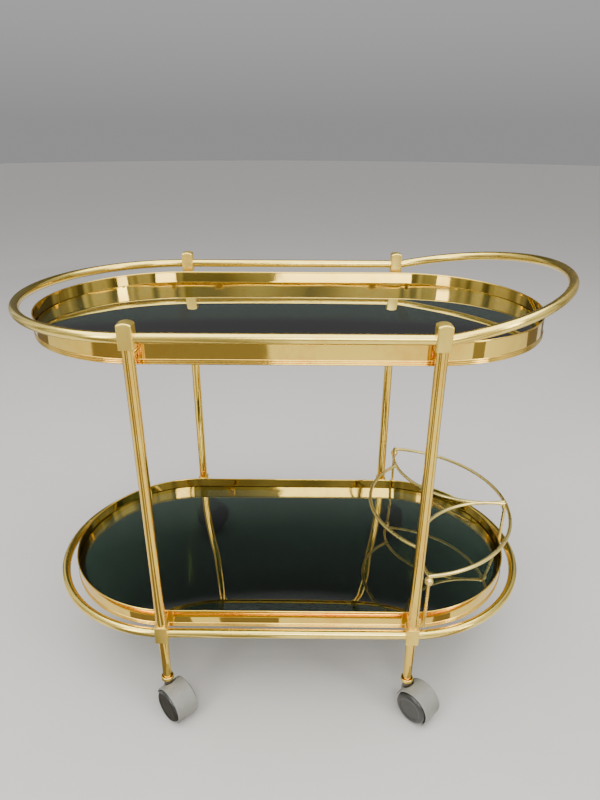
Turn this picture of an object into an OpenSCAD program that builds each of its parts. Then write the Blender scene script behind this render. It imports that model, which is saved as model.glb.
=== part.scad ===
// Two-tier serving trolley: four posts joined by two oval tube rails, a banded
// glass tray on each tier, a wire bottle rack on the lower tray and four
// twin-wheel casters that swivel and roll.
// The long side runs along X, the push handle is at +X and the floor is z = 0.

/* [Frame] */
// Distance between the post axes along the length
post_gap_x = 360; // [300:5:450]
// Distance between the post axes across the width
post_gap_y = 400; // [330:5:480]
// Height from the lower rail to the upper rail
tier_gap = 448; // [370:1:540]
// Outer diameter of a post
post_d = 15; // [12.5:0.5:18]
// Outer diameter of the rail tube
rail_d = 13; // [10.5:0.1:16]
// Wall of the posts and the rail tube
tube_wall = 1.2; // [0.8:0.1:2]
// How far inside the post axis each end bow begins
bow_inset = 2; // [0:1:6]
// Angle at which the push handle rises
handle_tilt = 11; // [0:1:14]

/* [Caps and blocks] */
// Wall of the caps and the blocks beside the post or the rail, whichever is wider
cap_wall = 1.5; // [1:0.1:4]
// Height of a top cap below the rail axis
cap_below = 13; // [12:0.5:16]
// Height of a top cap above the rail axis, at its edges
cap_above = 16.5; // [14:0.5:26]
// Height of the arched top of a cap
cap_crown = 3; // [1:0.5:4]
// Height of a lower block below the rail axis
block_below = 12; // [12:0.5:16]
// Height of a lower block above the rail axis
block_above = 16; // [12:0.5:24]
// Depth of the rail pocket in each side of a cap
pocket_depth = 5; // [3:0.5:5]
// Depth of the post socket in a cap or block
socket_depth = 3.5; // [2:0.5:3.5]
// Diameter of the tie rod inside a post
tie_d = 5; // [4:0.5:5]

/* [Feet] */
// Length of a foot from its block to its lower end
foot_len = 80; // [50:1:120]
// Diameter of the lower end of a foot
foot_d = 12; // [11:0.5:14]
// Outer diameter of the ring round the foot's end
collar_d = 18; // [15:0.5:20]
// Height of that ring
collar_h = 8; // [6:0.5:10]

/* [Trays] */
// Height of the band round a tray
band_h = 30; // [26:1:45]
// Wall of the band
band_wall = 1.4; // [1:0.1:2]
// Gap between the rail tube and the band
band_gap = 13.5; // [9:0.5:20]
// Width of the ledge that carries the glass
ledge_w = 9; // [5:1:14]
// Height of the ledge's top above the bottom of the band
ledge_h = 7; // [7:0.5:12]
// Radius of the three beads along the foot of the band
bead_r = 0.9; // [0.6:0.1:1]
// Radius of the rolled upper edge of the band
edge_r = 1.2; // [1:0.1:1.5]
// Thickness of the glass
glass_t = 5; // [4:1:8]
// Gap between the glass and the band
glass_gap = 0.5; // [0.3:0.1:1.5]
// Upper rail axis to the bottom of the upper band
upper_drop = 40; // [32:1:50]
// Lower rail axis to the bottom of the lower band
lower_drop = 7; // [4:1:9]
// Diameter of the spacers between band and post
spacer_d = 8; // [6:0.5:10]

/* [Bottle rack] */
// Height of the rack's wire above the lower rail axis
rack_h = 92; // [60:1:120]
// Diameter of the rack's wire
wire_d = 5.5; // [4:0.5:6]
// Diameter of the rack's posts
stay_d = 5; // [4:0.5:6]
// Diameter of the ball on a rack post
ball_d = 13; // [11:0.5:14]
// Angle from the long axis to each outer rack post
rack_sweep = 83; // [78:1:85]
// How far each curved divider bows away from the straight line between its ends
divider_bow = 69.5; // [50:0.5:85]
// Radius of the arc on the tray side
inner_r = 150; // [140:1:156]
// Distance from the bow's centre to the centre of that arc
inner_shift = 108; // [100:1:112]

/* [Casters] */
// Diameter of a wheel
wheel_d = 50; // [40:1:60]
// Overall width of a wheel pair
pair_w = 44; // [38:1:50]
// Distance from the stem axis to the wheel axis
trail = 22; // [18:1:28]
// Height from the top of a wheel to the lower end of the foot
foot_gap = 1; // [0.5:0.5:6]
// Diameter of the stem
stem_d = 8; // [6.5:0.1:9.6]
// Diameter of the wheel axle
axle_d = 5; // [4:0.5:6]
// Wall of the hood
hood_wall = 2.2; // [1.6:0.1:3]
// Running gap between wheel and hood
wheel_gap = 1.2; // [0.8:0.1:2]
// Angle at which the casters stand
caster_turn = 45; // [0:5:90]

/* [Hidden] */

$fn = 96;

post_x = post_gap_x / 2;
post_y = post_gap_y / 2;
rail_r = rail_d / 2;
post_r = post_d / 2;
cap_w = max(post_d, rail_d) + 2 * cap_wall;

// Heights of the tiers
caster_h = wheel_d + foot_gap;
block_z = caster_h + foot_len;
low_z = block_z + block_below;
top_z = low_z + tier_gap;
cap_z = top_z - cap_below;

// Plan of the rails and trays: a straight middle with half-round ends
bend_x = post_x - bow_inset;
bow_r = post_y;
// Sideways drift of a bow between its start and the face of its cap
bow_drift = pow(post_x + cap_w / 2 - bend_x, 2) / (2 * bow_r);
tray_r = bow_r - rail_r - band_gap;
upper_band_z = top_z - upper_drop;
lower_band_z = low_z - lower_drop;

// The handle is a raised half-round bow about the outer face of its caps
handle_x = post_x + cap_w / 2;
handle_end = handle_x + bow_r * cos(handle_tilt) + rail_r;
bow_end = bend_x + bow_r + rail_r;
// Distance that brings the middle of the overall length to x = 0
centre_x = (handle_end - bow_end) / 2;

// Clearances of the fits
rail_clear = 0.3;
socket_clear = 0.1;
tie_clear = 0.3;
running = 0.05;
swivel_gap = 0.3;

// Depths to which the tie rod and the stem enter
tie_grip = 18;
tie_lift = 7;
stem_grip = 30;

// A cut always runs this far past the face that it opens
over = 1;

// Rounding of a cap: its side shoulders, and the slighter crown from front to rear
cap_shoulder = 1.6;
front_shoulder = 1.5;
front_crown = 1;

// Thickness of the ledge that carries the glass
ledge_t = 1.5;

// Caster, in its own frame: stem axis at the origin, wheel axis along Y at x = trail
wheel_r = wheel_d / 2;
// Space round the foot's ring where the hood turns past it
notch_gap = 2;
notch_r = collar_d / 2 + notch_gap;
// The web between the wheels is as wide as the notch, so that no wheel shows in it
web_gap = 0.6;
web_t = 2 * (notch_r - web_gap);
hood_side = 1.5;
hood_in = wheel_r + wheel_gap;
hood_out = hood_in + hood_wall;
hood_half = pair_w / 2 - hood_side;
// The hood runs from below the axle at the back, over the wheels, to the stem
hood_from = -40;
hood_to = 166;
deck_drop = 11;
deck_h = caster_h - deck_drop;
boss_wall = 3;
boss_d = stem_d + 2 * boss_wall;
boss_h = 14;
stem_reach = 12;
flange_w = 1;
flange_d = stem_d + 2 * flange_w;
hub_d = 16;
// The wheel's outer face covers the axle's end
hub_cover = 3;
axle_short = hub_cover + over;
tread_round = 1.5;
face_round = 3;
face_dish = 0.8;
rim_w = 4;

// Bottle rack, in plan about the centre of the right-hand bow
wire_r = wire_d / 2;
stay_r = stay_d / 2;
rack_z = low_z + rack_h;
rack_r = tray_r + bead_r + stay_r;
// Half the distance between the two dividers where they meet the ring's tip
tip_half = 3;
// How far the wire is brazed into a ball
ball_bite = 0.5;
stay_foot = 4;

function unit(v) = v / norm(v);
// Centre of the circle of radius r through p and q, on the left of the way from p to q
function circle_centre(p, q, r) =
    let (chord = q - p, side = unit([-chord[1], chord[0]]))
    (p + q) / 2 + side * sqrt(r * r - norm(chord) * norm(chord) / 4);
function bearing(from, to) = atan2(to[1] - from[1], to[0] - from[0]);
// Crossing of two circles, on the left of the way from centre a to centre b
function crossing(a, ra, b, rb) =
    let (gap = norm(b - a), along = (ra * ra - rb * rb + gap * gap) / (2 * gap), u = unit(b - a))
    a + u * along + [-u[1], u[0]] * sqrt(ra * ra - along * along);

rack_corner = [rack_r * cos(rack_sweep), rack_r * sin(rack_sweep)];
rack_tip = [sqrt(rack_r * rack_r - tip_half * tip_half), tip_half];
divider_chord = norm(rack_tip - rack_corner);
divider_r = (divider_chord * divider_chord / 4 + divider_bow * divider_bow) / (2 * divider_bow);
divider_centre = circle_centre(rack_corner, rack_tip, divider_r);
divider_from = bearing(divider_centre, rack_corner);
divider_to = bearing(divider_centre, rack_tip) + 360;
inner_centre = [inner_shift, 0];
inner_meet = crossing(inner_centre, inner_r, divider_centre, divider_r);
inner_from = bearing(inner_centre, inner_meet);

// ---------------------------------------------------------------- placing

// Puts a piece in the trolley's frame
module placed() {
    translate([-centre_x, 0, 0]) children();
}

// Puts a piece on one post: sx and sy are -1 or 1
module on_post(sx, sy, z = 0) {
    placed() translate([sx * post_x, sy * post_y, z]) children();
}

module on_all_posts(z = 0) {
    for (sx = [-1, 1], sy = [-1, 1]) on_post(sx, sy, z) children();
}

// Puts a piece of a caster under one post, turned away from the middle
module on_caster(sx, sy) {
    on_post(sx, sy) rotate([0, 0, sy * caster_turn]) children();
}

// ---------------------------------------------------------------- rails

module rod_x(r, x0, x1) {
    translate([x0, 0, 0]) rotate([0, 90, 0]) cylinder(h = x1 - x0, r = r);
}

module straight_rail(side, z) {
    reach = post_x - cap_w / 2 + pocket_depth;
    placed() translate([0, side * post_y, z]) difference() {
        rod_x(rail_r, -reach, reach);
        rod_x(rail_r - tube_wall, -reach - over, reach + over);
    }
}

module half_ring(big, small) {
    rotate([0, 0, -90]) rotate_extrude(angle = 180, $fn = 180) translate([big, 0]) circle(r = small);
}

// Half-round end bow, whose ends stop on the floors of the rail pockets
module bow(side, z) {
    start = post_x + cap_w / 2 - pocket_depth - bend_x;
    depth = 2 * rail_d;
    placed() mirror([side < 0 ? 1 : 0, 0, 0]) translate([bend_x, 0, z]) difference() {
        half_ring(bow_r, rail_r);
        half_ring(bow_r, rail_r - tube_wall);
        translate([-start, -bow_r - rail_d, -rail_d]) cube([2 * start, 2 * (bow_r + rail_d), depth]);
    }
}

// Raised bow, whose ends run on into the slanted pockets of the right-hand caps
module push_handle() {
    into = asin(pocket_depth / (bow_r + rail_r));
    color("goldenrod") placed() translate([handle_x, 0, top_z]) rotate([0, -handle_tilt, 0])
        rotate([0, 0, -90 - into]) rotate_extrude(angle = 180 + 2 * into, $fn = 180)
            translate([bow_r, 0]) difference() {
                circle(r = rail_r);
                circle(r = rail_r - tube_wall);
            }
}

// ---------------------------------------------------------------- posts

// Pockets for the two rails that meet in a cap or block: the bow, which may slant upward,
// enters from the outer side, and its pocket is wider by what the bow curves on its way in
module rail_pockets(sx, tilt = 0) {
    rail_bore = rail_r + rail_clear;
    translate([sx * cap_w / 2, 0, 0]) rotate([0, -sx * tilt, 0])
        rod_x(rail_bore + bow_drift, -pocket_depth, pocket_depth);
    translate([-sx * cap_w / 2, 0, 0]) rod_x(rail_bore, -pocket_depth, pocket_depth);
}

// Upright plate with an arched top and rounded shoulders, extruded along Y
module arched(w, h, crown, d, shoulder) {
    arch_r = (w * w / 4 + crown * crown) / (2 * crown);
    translate([0, d / 2, 0]) rotate([90, 0, 0]) linear_extrude(height = d) intersection() {
        union() {
            translate([-w / 2, 0]) square([w, h - shoulder]);
            translate([-w / 2 + shoulder, 0]) square([w - 2 * shoulder, h + crown]);
            for (s = [-1, 1]) translate([s * (w / 2 - shoulder), h - shoulder]) circle(r = shoulder);
        }
        union() {
            translate([-w / 2, 0]) square([w, h]);
            translate([0, h + crown - arch_r]) circle(r = arch_r, $fn = 180);
        }
    }
}

module cap(sx, sy) {
    height = cap_below + cap_above;
    color("darkgoldenrod") on_post(sx, sy, cap_z) difference() {
        intersection() {
            arched(cap_w, height, cap_crown, cap_w, cap_shoulder);
            rotate([0, 0, 90])
                arched(cap_w, height + cap_crown - front_crown, front_crown, cap_w, front_shoulder);
        }
        translate([0, 0, cap_below]) rail_pockets(sx, sx > 0 ? handle_tilt : 0);
        translate([0, 0, -over]) cylinder(h = socket_depth + over, r = post_r + socket_clear);
        cylinder(h = socket_depth + tie_lift, r = tie_d / 2);
    }
}

module post(sx, sy) {
    z0 = low_z + block_above - socket_depth;
    z1 = cap_z + socket_depth;
    color("goldenrod") on_post(sx, sy) difference() {
        translate([0, 0, z0]) cylinder(h = z1 - z0, r = post_r);
        translate([0, 0, z0 - over]) cylinder(h = z1 - z0 + 2 * over, r = post_r - tube_wall);
    }
}

module block(sx, sy) {
    height = block_below + block_above;
    color("darkgoldenrod") on_post(sx, sy, block_z) difference() {
        translate([-cap_w / 2, -cap_w / 2, 0]) cube([cap_w, cap_w, height]);
        translate([0, 0, block_below]) rail_pockets(sx);
        translate([0, 0, height - socket_depth]) cylinder(h = socket_depth + over, r = post_r + socket_clear);
        translate([0, 0, -over]) cylinder(h = height, r = tie_d / 2 + tie_clear);
    }
}

module foot(sx, sy) {
    color("goldenrod") on_post(sx, sy, caster_h) difference() {
        cylinder(h = foot_len, r1 = foot_d / 2, r2 = post_r);
        translate([0, 0, -over]) cylinder(h = stem_grip + over, r = stem_d / 2 + running);
        translate([0, 0, foot_len - tie_grip]) cylinder(h = tie_grip + over, r = tie_d / 2);
    }
}

// Rounded ring round the lower end of a foot
module collar(sx, sy) {
    slope = (post_r - foot_d / 2) / foot_len;
    round_r = collar_h / 2;
    color("gold") on_post(sx, sy, caster_h) difference() {
        rotate_extrude() intersection() {
            translate([collar_d / 2 - round_r, round_r]) circle(r = round_r);
            square([collar_d, collar_h]);
        }
        translate([0, 0, -over]) cylinder(h = collar_h + 2 * over,
            r1 = foot_d / 2 - slope * over, r2 = foot_d / 2 + slope * (collar_h + over));
    }
}

module tie_rods() {
    z0 = block_z - tie_grip;
    z1 = cap_z + socket_depth + tie_lift;
    color("silver") on_all_posts(z0) cylinder(h = z1 - z0, r = tie_d / 2);
}

// ---------------------------------------------------------------- trays

// Stadium outline: a straight middle and two half-round ends
module stadium(r) {
    square([2 * bend_x, 2 * r], center = true);
    for (side = [-1, 1]) translate([side * bend_x, 0]) circle(r = r, $fn = 180);
}

// Sweeps a section round the stadium of radius r; the section's +X points outward
module stadium_sweep(r) {
    for (side = [0, 180]) rotate([0, 0, side]) {
        translate([bend_x, 0, 0]) rotate([0, 0, -90])
            rotate_extrude(angle = 180, $fn = 180) translate([r, 0]) children();
        translate([-bend_x, r, 0]) rotate([90, 0, 90]) linear_extrude(height = 2 * bend_x) children();
    }
}

// Section of the band: wall, ledge, three beads at the foot and a rolled upper edge
module band_section() {
    translate([-band_wall, bead_r]) square([band_wall, band_h - bead_r - edge_r]);
    translate([-band_wall - ledge_w, ledge_h - ledge_t]) square([ledge_w + band_wall / 2, ledge_t]);
    for (k = [0:2]) translate([-band_wall / 2, bead_r + 2 * k * bead_r]) circle(r = bead_r, $fn = 32);
    translate([-band_wall / 2, band_h - edge_r]) circle(r = edge_r, $fn = 32);
}

module band(z) {
    color("goldenrod") placed() translate([0, 0, z]) stadium_sweep(tray_r) band_section();
}

module glass(z) {
    color([0.16, 0.2, 0.19, 0.6]) placed() translate([0, 0, z + ledge_h]) linear_extrude(height = glass_t)
        stadium(tray_r - max(band_wall, band_wall / 2 + edge_r) - glass_gap);
}

// Spacers from the band to whatever stands outside it: a post or a block
module spacers(z) {
    for (sx = [-1, 1], sy = [-1, 1]) placed() difference() {
        translate([sx * post_x, sy * (post_y - post_r / 2), z]) rotate([sy * 90, 0, 0])
            cylinder(h = post_y - tray_r, r = spacer_d / 2);
        translate([0, 0, z - spacer_d]) linear_extrude(height = 2 * spacer_d) stadium(tray_r);
        translate([sx * post_x, sy * post_y, z - spacer_d]) children();
    }
}

module upper_spacers() {
    color("goldenrod") spacers(upper_band_z + band_h / 2) cylinder(h = 2 * spacer_d, r = post_r);
}

module lower_spacers() {
    color("goldenrod") spacers(lower_band_z + band_h / 2)
        translate([-cap_w / 2, -cap_w / 2, 0]) cube([cap_w, cap_w, 2 * spacer_d]);
}

// ---------------------------------------------------------------- bottle rack

// Puts a piece at the centre of the right-hand bow, at the height of the wire
module in_rack() {
    placed() translate([bend_x, 0, rack_z]) children();
}

// Bent wire: an arc about a centre, from one angle to another
module wire_arc(centre, r, from, to) {
    translate([centre[0], centre[1], 0]) rotate([0, 0, from])
        rotate_extrude(angle = to - from, $fn = 180) translate([r, 0]) circle(r = wire_r, $fn = 32);
}

module rack_ring() {
    color("khaki") in_rack() wire_arc([0, 0], rack_r, -rack_sweep, rack_sweep);
}

// The ends of dividers and inner arc are brazed on, and run to the middle of the wire they meet
module rack_divider(side) {
    color("khaki") in_rack() mirror([0, side < 0 ? 1 : 0, 0])
        wire_arc(divider_centre, divider_r, divider_from, divider_to);
}

module rack_inner_arc() {
    color("khaki") in_rack() wire_arc(inner_centre, inner_r, inner_from, 360 - inner_from);
}

// Turned posts, each with a ball on top that carries the wire
module rack_posts() {
    foot_z = lower_band_z + stay_foot;
    ball_z = rack_z - wire_r - ball_d / 2 + ball_bite;
    color("khaki") for (a = [-rack_sweep, 0, rack_sweep])
        placed() translate([bend_x + rack_r * cos(a), rack_r * sin(a), 0]) {
            translate([0, 0, foot_z]) cylinder(h = ball_z - foot_z, r = stay_r);
            translate([0, 0, ball_z]) sphere(r = ball_d / 2);
        }
}

// ---------------------------------------------------------------- casters

// Cylinder lying along Y, from y0 to y1, about the wheel axis
module about_axle(r, y0, y1) {
    translate([trail, y1, wheel_r]) rotate([90, 0, 0]) cylinder(h = y1 - y0, r = r);
}

module stem(sx, sy) {
    color("dimgray") on_caster(sx, sy) {
        bottom = deck_h - stem_reach;
        translate([0, 0, bottom]) cylinder(h = caster_h + stem_grip - over - bottom, r = stem_d / 2);
        translate([0, 0, deck_h]) cylinder(h = caster_h - swivel_gap - deck_h, r = flange_d / 2);
    }
}

// Wedge about the wheel axis that the hood leaves open
module hood_open_wedge() {
    far = 3 * wheel_r;
    middle = (hood_from + hood_to) / 2 + 180;
    translate([trail, 0, wheel_r]) rotate([90, 0, 0]) linear_extrude(height = 2 * pair_w, center = true)
        polygon([[0, 0], far * [cos(hood_from), sin(hood_from)], far * [cos(middle), sin(middle)],
            far * [cos(hood_to), sin(hood_to)]]);
}

module hood(sx, sy) {
    color("dimgray") on_caster(sx, sy) difference() {
        union() {
            difference() {
                about_axle(hood_out, -hood_half, hood_half);
                about_axle(hood_in, -pair_w, -web_t / 2);
                about_axle(hood_in, web_t / 2, pair_w);
                hood_open_wedge();
            }
            about_axle(hub_d / 2, -web_t / 2, web_t / 2);
            translate([0, 0, deck_h - boss_h]) cylinder(h = boss_h, r = boss_d / 2);
        }
        translate([0, 0, deck_h]) cylinder(h = wheel_d, r = notch_r);
        translate([-pair_w, -pair_w, deck_h]) cube([pair_w, 2 * pair_w, wheel_d]);
        translate([0, 0, deck_h - stem_reach]) cylinder(h = wheel_d, r = stem_d / 2);
        about_axle(axle_d / 2, -pair_w, pair_w);
    }
}

module axle(sx, sy) {
    reach = pair_w / 2 - axle_short;
    color("silver") on_caster(sx, sy) about_axle(axle_d / 2, -reach, reach);
}

// Outline of a wheel from its inner face to its domed outer face
module wheel_profile() {
    w = pair_w / 2 - web_t / 2 - web_gap;
    bore_r = axle_d / 2 + running;
    difference() {
        union() {
            square([wheel_r - tread_round, w]);
            translate([0, tread_round]) square([wheel_r, w - tread_round - face_round]);
            translate([wheel_r - tread_round, tread_round]) circle(r = tread_round);
            translate([wheel_r - face_round, w - face_round]) circle(r = face_round);
            square([wheel_r - face_round, w]);
        }
        translate([wheel_r - face_round, w - face_round]) square(wheel_r);
        translate([0, w - face_dish]) square([wheel_r - face_round - rim_w / 2, wheel_r]);
        translate([-over, -over]) square([bore_r + over, w - hub_cover + over]);
    }
    translate([wheel_r - face_round, w - face_round]) intersection() {
        circle(r = face_round);
        square(face_round);
    }
}

// side is -1 or 1: which of the two wheels on the axle
module wheel(sx, sy, side) {
    color("gray") on_caster(sx, sy) translate([trail, side * (web_t / 2 + web_gap), wheel_r])
        rotate([-side * 90, 0, 0]) rotate_extrude(convexity = 4) wheel_profile();
}

// ---------------------------------------------------------------- the trolley

color("goldenrod") straight_rail(-1, top_z);  // top_rail_front
color("goldenrod") straight_rail(1, top_z);  // top_rail_rear
color("goldenrod") bow(-1, top_z);  // top_rail_bow
push_handle();
color("goldenrod") straight_rail(-1, low_z);  // low_rail_front
color("goldenrod") straight_rail(1, low_z);  // low_rail_rear
color("goldenrod") bow(-1, low_z);  // low_rail_left_bow
color("goldenrod") bow(1, low_z);  // low_rail_right_bow
cap(-1, -1);  // cap_front_left
cap(1, -1);  // cap_front_right
cap(-1, 1);  // cap_rear_left
cap(1, 1);  // cap_rear_right
post(-1, -1);  // post_front_left
post(1, -1);  // post_front_right
post(-1, 1);  // post_rear_left
post(1, 1);  // post_rear_right
block(-1, -1);  // block_front_left
block(1, -1);  // block_front_right
block(-1, 1);  // block_rear_left
block(1, 1);  // block_rear_right
foot(-1, -1);  // foot_front_left
foot(1, -1);  // foot_front_right
foot(-1, 1);  // foot_rear_left
foot(1, 1);  // foot_rear_right
collar(-1, -1);  // collar_front_left
collar(1, -1);  // collar_front_right
collar(-1, 1);  // collar_rear_left
collar(1, 1);  // collar_rear_right
tie_rods();
band(upper_band_z);  // upper_band
band(lower_band_z);  // lower_band
glass(upper_band_z);  // upper_glass
glass(lower_band_z);  // lower_glass
upper_spacers();
lower_spacers();
rack_ring();
rack_divider(-1);  // rack_divider_front
rack_divider(1);  // rack_divider_rear
rack_inner_arc();
rack_posts();
stem(-1, -1);  // stem_front_left
stem(1, -1);  // stem_front_right
stem(-1, 1);  // stem_rear_left
stem(1, 1);  // stem_rear_right
hood(-1, -1);  // hood_front_left
hood(1, -1);  // hood_front_right
hood(-1, 1);  // hood_rear_left
hood(1, 1);  // hood_rear_right
axle(-1, -1);  // axle_front_left
axle(1, -1);  // axle_front_right
axle(-1, 1);  // axle_rear_left
axle(1, 1);  // axle_rear_right
wheel(-1, -1, -1);  // wheel_front_left_a
wheel(-1, -1, 1);  // wheel_front_left_b
wheel(1, -1, -1);  // wheel_front_right_a
wheel(1, -1, 1);  // wheel_front_right_b
wheel(-1, 1, -1);  // wheel_rear_left_a
wheel(-1, 1, 1);  // wheel_rear_left_b
wheel(1, 1, -1);  // wheel_rear_right_a
wheel(1, 1, 1);  // wheel_rear_right_b
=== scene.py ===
"""Dresses a two-tier serving trolley: brass rails, banded glass trays, bottle rack and casters.

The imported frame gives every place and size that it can. The classes below hold the sizes of
details that the frame is too plain to show, such as rounded edges, rolled rims and fillets.
All sizes are in metres.
"""

import logging
import math
from collections.abc import Callable
from dataclasses import dataclass
from enum import Enum

import bmesh
import bpy
from mathutils import Matrix, Vector

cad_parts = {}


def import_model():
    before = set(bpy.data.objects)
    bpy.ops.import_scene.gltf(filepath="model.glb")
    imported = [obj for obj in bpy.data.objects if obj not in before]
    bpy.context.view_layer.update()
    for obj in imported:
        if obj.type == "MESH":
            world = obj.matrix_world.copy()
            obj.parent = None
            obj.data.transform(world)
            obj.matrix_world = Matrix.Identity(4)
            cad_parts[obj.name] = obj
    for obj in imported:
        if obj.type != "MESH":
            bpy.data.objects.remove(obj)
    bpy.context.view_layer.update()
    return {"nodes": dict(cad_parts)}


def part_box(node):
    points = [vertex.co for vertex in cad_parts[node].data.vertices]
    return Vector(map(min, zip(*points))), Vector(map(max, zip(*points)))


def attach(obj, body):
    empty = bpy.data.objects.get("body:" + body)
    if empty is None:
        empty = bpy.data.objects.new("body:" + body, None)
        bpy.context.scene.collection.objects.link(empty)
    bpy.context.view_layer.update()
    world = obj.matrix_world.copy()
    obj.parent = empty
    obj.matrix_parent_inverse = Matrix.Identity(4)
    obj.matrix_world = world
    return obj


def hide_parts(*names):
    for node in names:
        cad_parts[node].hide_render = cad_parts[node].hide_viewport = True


LOG = logging.getLogger("trolley")
MM = 0.001
UP = Vector((0, 0, 1))
CORNERS = ("front_left", "front_right", "rear_left", "rear_right")
WELD = 0.0001 * MM  # points closer than this become one
RIM_PROUD = 0.5 * MM  # how far the rolled edge of a band stands out from its face
REST_TURN = math.pi / 4  # how far every caster is turned at rest

Outline = list[tuple[float, float]]


# ------------------------------------------------------------------ mesh building


@dataclass(frozen=True)
class Station:
    """One stop of a sweep: where the section's origin goes and which way its axes point."""

    place: Vector
    across: Vector
    up: Vector
    size: float = 1.0


def arc(centre: tuple[float, float], radius: float, start: float, end: float, steps: int) -> Outline:
    """Gives points along an arc in a plane.

    Args:
        centre: Centre of the arc.
        radius: Its radius.
        start: Angle of the first point, in degrees.
        end: Angle of the last point, in degrees.
        steps: Number of intervals between the points.

    Returns:
        The points from start to end, both included.
    """
    angles = [math.radians(start + (end - start) * i / steps) for i in range(steps + 1)]
    return [(centre[0] + radius * math.cos(a), centre[1] + radius * math.sin(a)) for a in angles]


def circle(radius: float, steps: int) -> Outline:
    """Gives a closed circle about the origin, without repeating its first point."""
    return arc((0, 0), radius, 0, 360, steps)[:-1]


def lengths(points: list[Vector], closed: bool) -> list[float]:
    """Adds up the way along a line of points.

    Args:
        points: The points in order.
        closed: Whether the line returns to its first point.

    Returns:
        The distance from the start to each point, and to the start again if it is closed.
    """
    total, out = 0.0, [0.0]
    for a, b in zip(points, points[1:] + points[:1] if closed else points[1:]):
        total += (b - a).length
        out.append(total)
    return out


def finish_mesh(name: str, mesh: bpy.types.Mesh, sharp_deg: float = 35) -> bpy.types.Object:
    """Smooths a mesh up to its sharp edges and puts it in the scene.

    Args:
        name: Name of the new piece.
        mesh: Its mesh.
        sharp_deg: Angle between faces above which an edge stays sharp.

    Returns:
        The new piece.
    """
    mesh.shade_smooth()
    mesh.set_sharp_from_angle(angle=math.radians(sharp_deg))
    piece = bpy.data.objects.new(name, mesh)
    bpy.context.scene.collection.objects.link(piece)
    return piece


def grid_mesh(name: str, rows: list[list[Vector]], loop_rows: bool, loop_cols: bool) -> bpy.types.Mesh:
    """Joins rows of points into a skin of quads with a map in metres.

    Args:
        name: Name of the mesh.
        rows: Rows of points, all of one length. Points that fall together are merged.
        loop_rows: Whether the last row joins the first.
        loop_cols: Whether each row closes on itself.

    Returns:
        The mesh, with open rows closed by end faces when its rows are loops.
    """
    bm = bmesh.new()
    layer = bm.loops.layers.uv.new("along")
    verts = [[bm.verts.new(p) for p in row] for row in rows]
    along = lengths([row[0] for row in rows], loop_rows)
    around = lengths(rows[len(rows) // 2], loop_cols)
    n_rows, n_cols = len(rows), len(rows[0])
    for i in range(n_rows if loop_rows else n_rows - 1):
        for j in range(n_cols if loop_cols else n_cols - 1):
            a, b = (i + 1) % n_rows, (j + 1) % n_cols
            face = bm.faces.new((verts[i][j], verts[a][j], verts[a][b], verts[i][b]))
            spots = ((i, j), (i + 1, j), (i + 1, j + 1), (i, j + 1))
            for loop, (u, v) in zip(face.loops, spots):
                loop[layer].uv = (along[u], around[v])
    if loop_cols and not loop_rows:
        bm.faces.new(verts[0])
        bm.faces.new(reversed(verts[-1]))
    bmesh.ops.remove_doubles(bm, verts=bm.verts, dist=WELD)
    bmesh.ops.dissolve_degenerate(bm, edges=bm.edges, dist=WELD)
    bmesh.ops.recalc_face_normals(bm, faces=bm.faces)
    mesh = bpy.data.meshes.new(name)
    bm.to_mesh(mesh)
    bm.free()
    return mesh


def sweep(name: str, stations: list[Station], section: Outline, closed: bool = False) -> bpy.types.Object:
    """Sweeps a closed section along stations.

    Args:
        name: Name of the piece.
        stations: The stops, in order.
        section: Points as (across, up).
        closed: Whether the way returns to its first stop.

    Returns:
        The swept piece.
    """
    rows = [
        [s.place + s.across * (u * s.size) + s.up * (v * s.size) for u, v in section]
        for s in stations
    ]
    return finish_mesh(name, grid_mesh(name, rows, closed, True))


def turned(
    name: str, profile: Outline, place: Matrix, closed: bool = False, steps: int = 72
) -> bpy.types.Object:
    """Turns a profile about an axis, as on a lathe.

    Args:
        name: Name of the piece.
        profile: Points as (radius, height along the axis).
        place: Where the axis lies: its z axis is the axis of turning.
        closed: Whether the profile closes on itself; otherwise it starts and ends on the axis.
        steps: Number of steps round the axis.

    Returns:
        The turned piece.
    """
    turns = [2 * math.pi * k / steps for k in range(steps)]
    rows = [
        [place @ Vector((r * math.cos(t), r * math.sin(t), h)) for r, h in profile] for t in turns
    ]
    return finish_mesh(name, grid_mesh(name, rows, True, closed), sharp_deg=30)


def rounded_plate(
    name: str,
    outline: Callable[[float], Outline],
    depth: float,
    edge: float,
    place: Vector,
    edge_steps: int = 4,
) -> bpy.types.Object:
    """Lofts an upright plate along Y, with its front and rear edges rounded.

    Args:
        name: Name of the piece.
        outline: Gives the outline in X and Z, drawn in by the distance it is called with.
        depth: Size along Y.
        edge: Radius of the rounded edges.
        place: Where the outline's origin goes.
        edge_steps: Number of steps round an edge.

    Returns:
        The plate.
    """
    quarter = [math.radians(90 * i / edge_steps) for i in range(edge_steps + 1)]
    rounding = [(edge * (1 - math.cos(a)), edge * (1 - math.sin(a))) for a in quarter]
    front = [(-depth / 2 + dy, inset) for dy, inset in rounding]
    stops = front + [(-y, inset) for y, inset in reversed(front)]
    rows = [[place + Vector((x, y, z)) for x, z in outline(inset)] for y, inset in stops]
    return finish_mesh(name, grid_mesh(name, rows, False, True), sharp_deg=40)


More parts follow.
